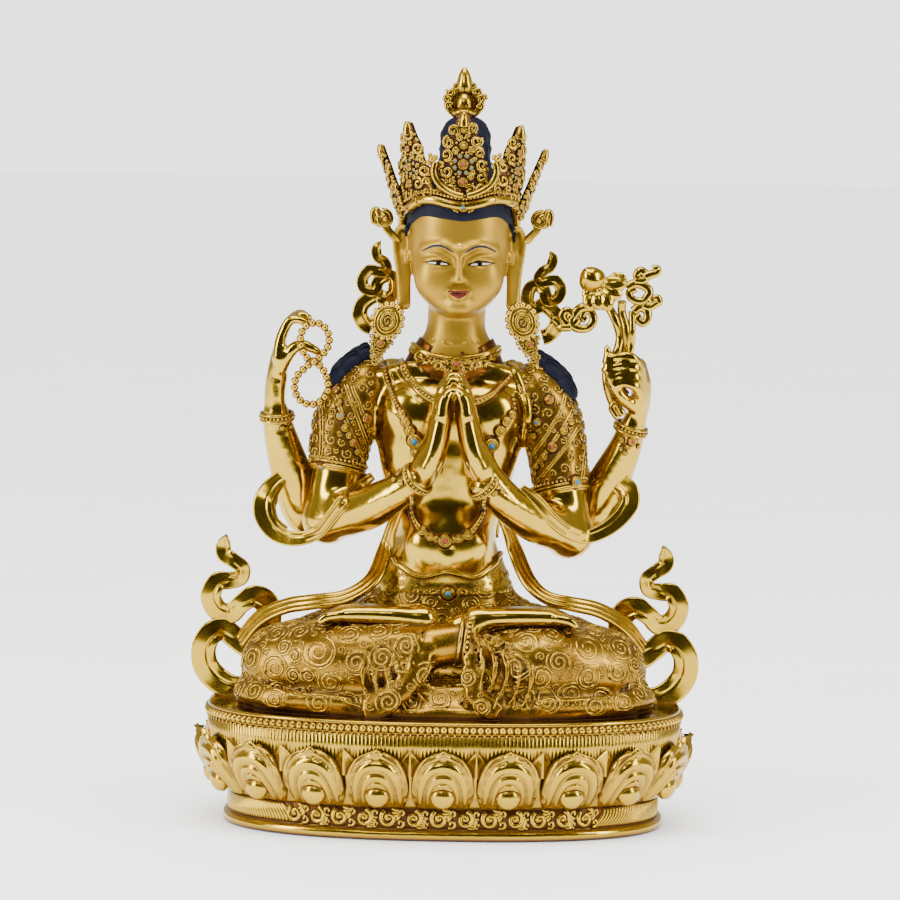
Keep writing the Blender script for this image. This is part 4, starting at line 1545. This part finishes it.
chain = [(411, 497), (412.5, 512.6), (416, 523), (422.4, 531), (432, 537.5), (445, 540.6), (457, 539),
         (467.4, 535), (476, 526), (482.8, 512.6), (485, 497)]
for shift in (-1.6, 1.6):
    wire_on(ornaments, bust, [(c, r + shift) for c, r in chain], 0.3, 0.75, sides=7)
places, outs = trace(bust, chain, lift=0.5)
sweep(shadows, places - outs * 0.6, 2.7, outs, flat=0.2, sides=10)
beads_along(ornaments, places, 2.4, 1.1, outs)
set_stones(ornaments, bust, ((445, 541, 3.4, corals), (431, 537.5, 2.1, None), (422.8, 531, 2.5, None),
        (458, 539, 2.2, None),
                             (467.4, 535.5, 2.6, None)), 0.5)
spot = bust.under(523.5, 402)
side, up, out = flat_ways(spot[1])
root = spot[0]
sweep(ornaments, curve([root + up * 3 + out * 1, root + out * 2.6 - up * 1, root + out * 3.2 - up * 6,
                        root + out * 2.2 - up * 10.5], 5), np.linspace(3.4, 2.0, 16), out, sides=14)
for k in (-1, 1):
    sweep(ornaments, curve([root + up * 4 + side * k * 1.6 + out, root + up * 9 + side * k * 2.2,
                            root + up * 14 + side * k * 1.0], 5), np.linspace(1.1, 0.5, 11), out, sides=8)
    sweep(ornaments, curve([root + up * 2.5 + side * k * 2.6 + out * 1.5,
                            root + up * 4.5 + side * k * 4.6 + out, root + up * 4 + side * k * 6.4], 5),
          np.linspace(1.6, 0.6, 11), out, flat=0.5, sides=8)
    studs(ornaments, [root + side * k * 1.9 + out * 4.2 - up * 0.5], 0.9, out, tall=0.6, long=1.4)
wire_on(ornaments, bust, [(514, 424), (516, 436), (512, 446), (511, 452)], 0.2, (1.3, 0.8))
wire_on(ornaments, bust, [(505, 352), (514, 368), (521, 386), (523, 396)], 0.4, (2.6, 1.8), flat=0.5)
make("collar_strings_and_chains", ornaments, jewel_gilding, "fire_gilt_copper")

# The jewelled sleeves
# Thin castings over the upper arms: slanting double wires, set stones with curls between them, and a
# rolled and beaded hem. The cloth that shows between them is browned by lacquer.

sleeves, sleeve_cloth = on_seat(), on_seat()
for side in (-1, 1):
    sleeve = Clay((-76, -18, 100) if side < 0 else (34, -18, 92),
                  (-34, 32, 178) if side < 0 else (78, 32, 178), cell=1.35)
    stations = [(-42, 8, 156, 14.8), (-47, 7.5, 149, 15.8), (-52.5, 5.6, 139, 15.6), (-55, 3, 124, 14.6),
                (-55.6, 1.5, 115.5, 13.6)] if side < 0 else \
        [(42, 8, 155, 14.8), (47, 7.5, 148, 15.8), (52, 5.6, 137, 15.4), (54.6, 3, 122, 14.2),
         (56, 1, 106.5, 13.2)]
    sleeve.limb(stations, 1.0, 6)
    low = np.array(stations[-1][:3])
    elbow = np.array((RIGHT_UPPER_ARM if side < 0 else LEFT_UPPER_ARM)[-1][:3])
    axis = unit(elbow - low)
    spans, (x, y, z) = sleeve.window(low - 22, low + 22)
    below = (x - low[0]) * axis[0] + (y - low[1]) * axis[1] + (z - low[2]) * axis[2]
    sleeve.join(spans, -(below + 0.2 + 0 * x).astype(np.float32), 0.6, cut=True)
    sleeve_skin = sleeve.skin(2)
    sleeve_cloth.add(sleeve_skin.points, sleeve_skin.faces)
    turn = full_turn(72)[:, None]
    across = unit(np.cross(axis, (0, 1, 0)))
    deep = np.cross(axis, across)
    for far, radius, wire, flat in ((0.2, 13.9, 1.25, 0.8), (-1.9, 13.9, 0.7, 1), (1.0, 12.6, 1.2, 1)):
        sweep(sleeves, low + axis * far + radius * (across * np.cos(turn) + deep * np.sin(turn)), wire,
              axis, flat=flat, closed=True)
    ring = low - axis * 3.6 + 14.3 * (across * np.cos(turn) + deep * np.sin(turn))
    beads_along(sleeves, np.vstack([ring, ring[:1]]), 2.1, 0.9, np.vstack([ring, ring[:1]]) - low)
    seeds = []
    if side < 0:
        bands = ([(331, 384), (341, 410), (352, 434), (362, 458), (366, 468)],
                 [(345, 383), (355, 410), (364, 436), (371, 458)],
                 [(352, 385), (362, 412), (369, 434), (374, 450)],
                 [(320, 396), (322, 420), (322, 446), (320, 468)])
        stones = ((366, 418, 2.7, corals), (353, 443, 2.2, corals), (337, 390, 2.2, corals),
                  (341, 416, 2.3, turquoises), (323, 464, 3.2, turquoises), (311, 425, 2.0, turquoises),
                  (373, 447, 1.4, turquoises), (339, 403, 2.0, None), (345, 428, 2.1, None),
                  (349, 435.5, 1.9, None), (357, 452, 1.9, None), (361.5, 460, 1.7, None),
                  (368, 430, 1.9, None))
    else:
        bands = ([(578, 398), (570, 416), (556, 438), (540, 460), (531, 472)],
                 [(586, 404), (580, 424), (566, 446), (550, 466), (541, 478)],
                 [(566, 392), (560, 412), (546, 436), (530, 458)],
                 [(588, 430), (586, 446), (583, 466), (581, 486)])
        stones = ((549, 400, 2.5, corals), (552, 447, 2.7, corals), (537.5, 422, 2.2, turquoises),
                  (530.5, 473, 1.9, turquoises), (575, 482, 3.2, turquoises), (586, 441, 2.0, turquoises),
                  (574, 412, 1.7, turquoises), (563, 431, 2.2, None), (544, 457, 2.2, None),
                  (537, 466, 1.9, None), (570, 422, 1.9, None), (534, 436, 2.0, None))
    for spots in bands:
        for shift in (-1.3, 1.3):
            places, outs = trace(sleeve_skin, [(c + shift, r) for c, r in spots], lift=0.25)
            if len(places) > 3:
                sweep(sleeves, places, 0.55, outs, sides=7)
                for place, out in zip(places[::3], outs[::3]):
                    seeds.append((place, out, 0.8))
    seeds += set_stones(sleeves, sleeve_skin, stones, 0.4)
    limit = low[2] + 4.5
    found = pack_places(sleeve_skin, lambda places,
                        outs: (places[:, 2] > limit) & (np.abs(places[:, 0]) > 39), (3.4, 2.4, 1.7), seeds)
    scrollwork(sleeves, sleeve_skin, found[len(seeds):], wire=0.55, lift=0.3)
make("jewelled_sleeves", sleeves, jewel_gilding, "fire_gilt_copper")
make("sleeve_cloth", sleeve_cloth, cloth_gilding, "fire_gilt_copper")

# The bracelets
# Two wires with a row of beads between them on each wrist, and a small spray of settings, soldered.

bracelets = on_seat()
for centre, axis, radius, skin, hang in (
        ((-86.2, 3.2, 141.5), (-0.04, -0.17, 1), 8.0, right_arm_skin,
         ((286, 421, 2.4, corals), (282, 428, 1.3, None), (290, 427, 1.3, None), (277.5, 421, 1.5, None),
          (294, 418, 1.4, None), (287, 434, 1.2, None))),
        ((90.6, 3.2, 138.5), (0.30, -0.2, 1), 8.0, left_arm_skin,
         ((632, 441, 2.4, corals), (627, 447, 1.4, None), (622, 440, 1.6, None), (625, 453, 1.2, None),
          (638, 446, 1.2, None), (621, 449, 1.2, None))),
        ((-15.2, -37.2, 114.4), (0.62, -0.36, 0.55), 8.3, body_skin,
         ((399, 474, 2.0, corals), (394, 480, 1.5, None), (401, 483, 1.5, None), (390, 474, 1.4, None),
          (386, 479, 1.2, None))),
        ((17.2, -37.2, 112.6), (-0.62, -0.36, 0.55), 8.3, body_skin,
         ((497, 486, 2.0, None), (502, 491, 1.6, None), (494, 493, 1.5, None), (503, 482, 1.3, None),
          (507, 488, 1.3, None)))):
    axis = unit(axis)
    across = unit(np.cross(axis, (0, 1, 0.1)))
    deep = np.cross(axis, across)
    turn = full_turn(48)[:, None]
    for far, wire in ((-1.5, 0.95), (1.5, 0.8)):
        sweep(bracelets, np.array(centre) + axis * far + radius
              * (across * np.cos(turn) + deep * np.sin(turn)), wire, axis, closed=True, sides=8)
    ring = np.array(centre) + (radius + 0.3) * (across * np.cos(turn) + deep * np.sin(turn))
    beads_along(bracelets, np.vstack([ring, ring[:1]]), 1.9, 0.95, np.vstack([ring, ring[:1]]) - centre)
    set_stones(bracelets, skin, hang, 0.3)
make("bracelets", bracelets, jewel_gilding, "fire_gilt_copper")

# The belt: a wavy rolled hem under the belly, the chased top of the garment below it, and its clasp.
belt = on_seat()
turn = full_turn(96) - np.pi / 2
rim_height = 68.5 + 5.5 * np.abs(np.cos(turn)) ** 3 - 4.0 * np.exp(-((turn + np.pi / 2
        - 0.5) / 0.34) ** 2) - 4.0 * np.exp(-((turn - 1.5 * np.pi + 0.5) / 0.34) ** 2) - 1.4 * (np.cos(turn
        + np.pi / 2) > 0.5)
levels = np.linspace(0, 1, 12)
rows = []
for level in levels:
    ring = []
    for angle, top in zip(turn, rim_height):
        height = 55.5 + (top - 55.5) * level
        spot = body_skin.tree.ray_cast((0.3 + 42 * math.cos(angle), 10 + 38 * math.sin(angle), height),
                (-math.cos(angle), -math.sin(angle), 0))
        out = np.array((math.cos(angle), math.sin(angle), 0))
        ring.append(np.array(spot[0]) + out * 0.7)
    rows.append(ring)
rows = np.array(rows)
belt.add(rows, grid_faces(len(levels), 96, wrap_columns=True))
belt_skin = Skin(rows.reshape(-1, 3), grid_faces(len(levels), 96, wrap_columns=True))
facing = (rows[-1] - (0.3, 10, 0)) * (1, 1, 0)
sweep(belt, rows[-1], 1.35, facing, closed=True, sides=10)
beads_along(belt, np.vstack([rows[-2], rows[-2][:1]]) - (0, 0, 0.8), 1.5, 0.6,
            np.vstack([facing, facing[:1]]))
spot = belt_skin.near(front(448, 594, -16))
jewel(belt, spot[0] + spot[1] * 0.8, spot[1], 3.4, turquoises)
for side in (-1, 1):
    for k, (u, row, size) in enumerate(((8.5, 601, 2.4), (15, 605, 2.4), (5, 607, 1.8), (11.5, 611, 1.9),
            (22, 606, 2.2), (29, 604, 2.0))):
        found = belt_skin.near(front(448 + side * u, row, -14))
        places, outs = on_skin(belt_skin, *found, spiral(1.2, size, side, k * 1.3, samples=16, inner=0.25),
                               0.5)
        sweep(belt, places, 0.62, outs, sides=7)
scrollwork(belt, belt_skin, pack_places(belt_skin, lambda places, outs: places[:, 2] < 66, (2.0, 1.3),
        [(spot[0], spot[1], 12.0)])[1:], wire=0.35, lift=0.1)
make("belt_and_garment_top", belt, garment_gilding, "chased_gilt_copper")


# The prayer beads and the lotus
# The beads are turned, drilled and threaded on a wire that hangs twisted in two rounds. The lotus is
# cast in one with its stems, buds and curled leaves and held in the closed fingers.

ROSARY_PITCH = 3.5

rosary = on_seat()
middle = front(313, 361, -13.5)
upper = curve([middle, front(304, 354, -13), front(300.5, 340, -12.5), front(304, 328, -12.5),
               front(313, 323, -12.5), front(322, 325, -12.5), front(328.5, 334, -12.5),
               front(328.6, 345, -12.5), front(322, 355, -13)], 8, closed=True)
lower = curve([front(314, 362, -14.5), front(305, 368, -13), front(296, 378, -12.5),
               front(295, 391, -12.5), front(301, 401, -12.5), front(311, 404.5, -12.5),
               front(321, 401, -12.5),
               front(328, 391, -12.5), front(326.5, 377, -12.5), front(321, 367, -13)], 8, closed=True)
for loop in (upper, lower):
    closed_loop = np.vstack([loop, loop[:1]])
    walked = walk(closed_loop)
    count = round(walked[-1] / ROSARY_PITCH)
    places = at_marks(np.arange(count) / count * walked[-1], walked, closed_loop)
    run = np.roll(places, -1, 0) - np.roll(places, 1, 0)
    studs(rosary, places, 2.05, (0, -1, 0), along=run, long=0.92, columns=14, rows=9)
    sweep(rosary, loop, 0.5, (0, -1, 0), closed=True, sides=6)
    for k in range(count):
        way = unit(run[k])
        for far in (-1.05, 1.05):
            sweep(rosary, ring_path(places[k] + way * far * 0.75, way, 1.1, samples=10), 0.28, way,
                  closed=True, sides=4)
make("prayer_beads_on_wire", rosary, garment_gilding, "chased_gilt_copper", "prayer_beads")

lotus = on_seat()
LOTUS_DEPTH = -4.0


def lotus_px(x, y, depth=0.0):
    """A place on the spray, from a drawing of it at 4.9 times the camera's frame, with its own corner."""
    return np.array(front(520 + x / 4.9, 240 + y / 4.9, LOTUS_DEPTH + depth))


for stem, wide in (([(500, 850), (455, 800), (425, 700), (430, 620), (470, 560), (490, 480), (470, 400),
                     (440, 340)], 2.3),
                   ([(520, 760), (480, 700), (490, 620), (520, 540), (520, 440), (500, 360), (500, 300)],
                    2.2),
                   ([(530, 600), (545, 520), (550, 440), (548, 350)], 1.8)):
    path = np.array([lotus_px(x, y, 1.5 * (k % 2) - 1) for k, (x, y) in enumerate(stem)])
    sweep(lotus, curve(path, 6), wide, (0, -1, 0), sides=12)
sweep(lotus, curve([lotus_px(478, 870, -1), lotus_px(450, 825, -1), lotus_px(470, 800, -1.5),
                    lotus_px(505, 860, -1.5)], 5), 1.9, (0, -1, 0), sides=9)


def petal_blade(tip, root, half, depth, lines=1, thick=1.6):
    """One petal between its root and tip, bellied, pointed, with a chased middle line."""
    tip, root = lotus_px(*tip, depth - 1.5), lotus_px(*root, depth)
    along = tip - root
    side = unit(np.cross(along, (0, 1, 0)))
    t, u = np.meshgrid(np.linspace(0, 1, 14), np.linspace(-1, 1, 13), indexing="ij")
    wide = half * 1.2 * np.sin(np.clip(t * 0.86 + 0.12, 0, 1) * np.pi) ** 0.62
    belly = thick * (1 - u**2) * np.sin(np.clip(t, 0.02, 0.98)
            * np.pi) ** 0.5 - 0.4 * np.exp(-(u / 0.12) ** 2) * lines + 0.35 * np.exp(-((np.abs(u)
            - 0.85) / 0.1) ** 2)
    for face in (1, -1):
        places = root + along * t[..., None] + side * (u * wide)[...,
                None] + np.array((0, -1, 0)) * (belly * (face if face > 0 else -0.5))[..., None]
        lotus.add(places, grid_faces(*t.shape)[:, ::face])


petal_blade((318, 138), (385, 245), 5.6, -3.5, lines=0, thick=4.4)
petal_blade((410, 175), (380, 250), 3.6, -2, lines=0, thick=2.6)
petal_blade((520, 215), (395, 232), 4.2, -2.5, thick=2.6)
petal_blade((500, 275), (395, 238), 4.0, -3, thick=2.4)
petal_blade((440, 345), (390, 245), 4.4, -4, thick=2.6)
petal_blade((385, 345), (380, 250), 3.6, -5, thick=2.4)
petal_blade((330, 345), (375, 248), 4.2, -4, thick=2.4)
petal_blade((305, 280), (375, 245), 3.6, -3, thick=2.2)
petal_blade((525, 190), (440, 200), 3.4, 0.5, thick=2.0)
studs(lotus, [lotus_px(388, 248, -4.5)], 2.0, columns=14, rows=9)
for outline in ([(330, 330), (290, 340), (255, 390), (275, 430), (330, 432), (360, 395), (345, 350),
                 (318, 352), (305, 378), (325, 395)],
                [(285, 385), (255, 420), (222, 405), (205, 370), (228, 345), (250, 362), (240, 385)],
                [(250, 425), (205, 425), (185, 405), (160, 385)], [(205, 428), (185, 432)],
                [(520, 235), (560, 215), (605, 225), (635, 255), (600, 300), (550, 290), (535, 255),
                 (570, 240)],
                [(560, 195), (600, 200), (620, 175), (590, 150), (570, 175), (585, 190)],
                [(610, 180), (640, 170), (670, 160), (672, 140), (650, 142)],
                [(555, 350), (585, 330), (620, 345), (625, 385), (600, 410), (575, 385), (590, 365)],
                [(600, 320), (630, 330), (660, 315), (680, 305), (675, 285), (655, 285)],
                [(620, 300), (640, 300), (655, 275)]):
    path = np.array([lotus_px(x, y, -0.5 + 0.4 * math.sin(k)) for k, (x, y) in enumerate(outline)])
    sweep(lotus, curve(path, 5), np.linspace(2.6, 1.8, (len(outline) - 1) * 5 + 1), (0, -1, 0), flat=0.8,
          sides=11)
make("lotus_with_buds_and_leaves", lotus, ribbon_gilding, "fire_gilt_copper", "lotus_spray")


# The stones
# Tumbled turquoise and coral, each cemented into its collet of gold. The lacquer that was wiped over the
# gilding stays in a dark line round every setting. Each kind is gathered into one piece here.

make("lacquer_round_the_settings", shadows, ground_lacquer, "chased_gilt_copper")
make("turquoise_stones", turquoises, turquoise, "chased_gilt_copper")
make("coral_stones", corals, coral, "chased_gilt_copper")

# The table and the light
# A plain pale sheet under soft lamps. The polished metal mirrors a dim room on the camera's side,
# with a tall soft lamp to the left, one to the right and one overhead.

paper = bpy.data.materials.new("pale_paper")
paper.use_nodes = True
grain = add(paper.node_tree, "ShaderNodeTexNoise", links={"Scale": 500.0, "Detail": 2.0})
tone = add(paper.node_tree, "ShaderNodeValToRGB", links={"Fac": grain.outputs["Fac"]},
           stops=((0.3, colour("#DEDEDD")), (0.7, colour("#E2E2E1"))))
paper.node_tree.links.new(tone.outputs["Color"],
                          paper.node_tree.nodes["Principled BSDF"].inputs["Base Color"])
paper.node_tree.nodes["Principled BSDF"].inputs["Roughness"].default_value = 0.9
floor_mesh = bpy.data.meshes.new("floor")
reach, front_edge = 60.0, -0.5
corners = [(-reach, front_edge, 0), (reach, front_edge, 0), (reach, reach, 0), (-reach, reach, 0)]
floor_mesh.from_pydata(corners, [], [(0, 1, 2, 3)])
floor_mesh.materials.append(paper)
floor = bpy.data.objects.new("floor", floor_mesh)
bpy.context.scene.collection.objects.link(floor)
floor.location.z = -0.0005

LAMP_AIM = (0, 0, 0.2)
FILL_LIGHT, BACKDROP_LIGHT = (3.46, 3.46, 3.44, 1), (2.65, 2.65, 2.65, 1)

world = bpy.data.worlds.new("studio")
bpy.context.scene.world = world
world.use_nodes = True
tree = world.node_tree
background = tree.nodes["Background"]
way = add(tree, "ShaderNodeTexCoord").outputs["Generated"]
split = add(tree, "ShaderNodeSeparateXYZ", links={0: way})
near_side = add(tree, "ShaderNodeMapRange", links={0: split.outputs["Y"], 1: -0.9, 2: 0.6})
room = add(tree, "ShaderNodeValToRGB", links={"Fac": near_side.outputs[0]},
           stops=((0.0, colour("#1E1B10")), (0.3, colour("#4E482F")), (0.58, colour("#A69E84")),
                  (0.8, colour("#C8C3B0")), (1.0, colour("#D2CEC0")))).outputs["Color"]
rays = add(tree, "ShaderNodeLightPath")
even = add(tree, "ShaderNodeMix", {"data_type": "RGBA"},
           {0: rays.outputs["Is Glossy Ray"], 6: FILL_LIGHT, 7: room})
pale = add(tree, "ShaderNodeMix", {"data_type": "RGBA"},
           {0: rays.outputs["Is Camera Ray"], 6: even.outputs[2], 7: BACKDROP_LIGHT})
tree.links.new(pale.outputs[2], background.inputs["Color"])
background.inputs["Strength"].default_value = 1.0


def lamp(name, place, size, watts):
    light = bpy.data.lights.new(name, "AREA")
    light.shape = "RECTANGLE"
    light.size, light.size_y = size
    light.energy = watts
    made = bpy.data.objects.new(name, light)
    bpy.context.scene.collection.objects.link(made)
    made.location = place
    made.rotation_euler = (Vector(LAMP_AIM) - Vector(place)).to_track_quat("-Z", "Y").to_euler()


lamp("left_soft_lamp", (-1.5, -0.9, 0.8), (0.55, 1.5), 44)
lamp("right_soft_lamp", (1.5, -0.8, 0.8), (0.4, 1.3), 26)
lamp("top_soft_lamp", (0, -0.5, 1.7), (1.4, 0.7), 30)
lamp("front_soft_lamp", (-0.6, -2.4, 1.9), (0.8, 0.5), 13)
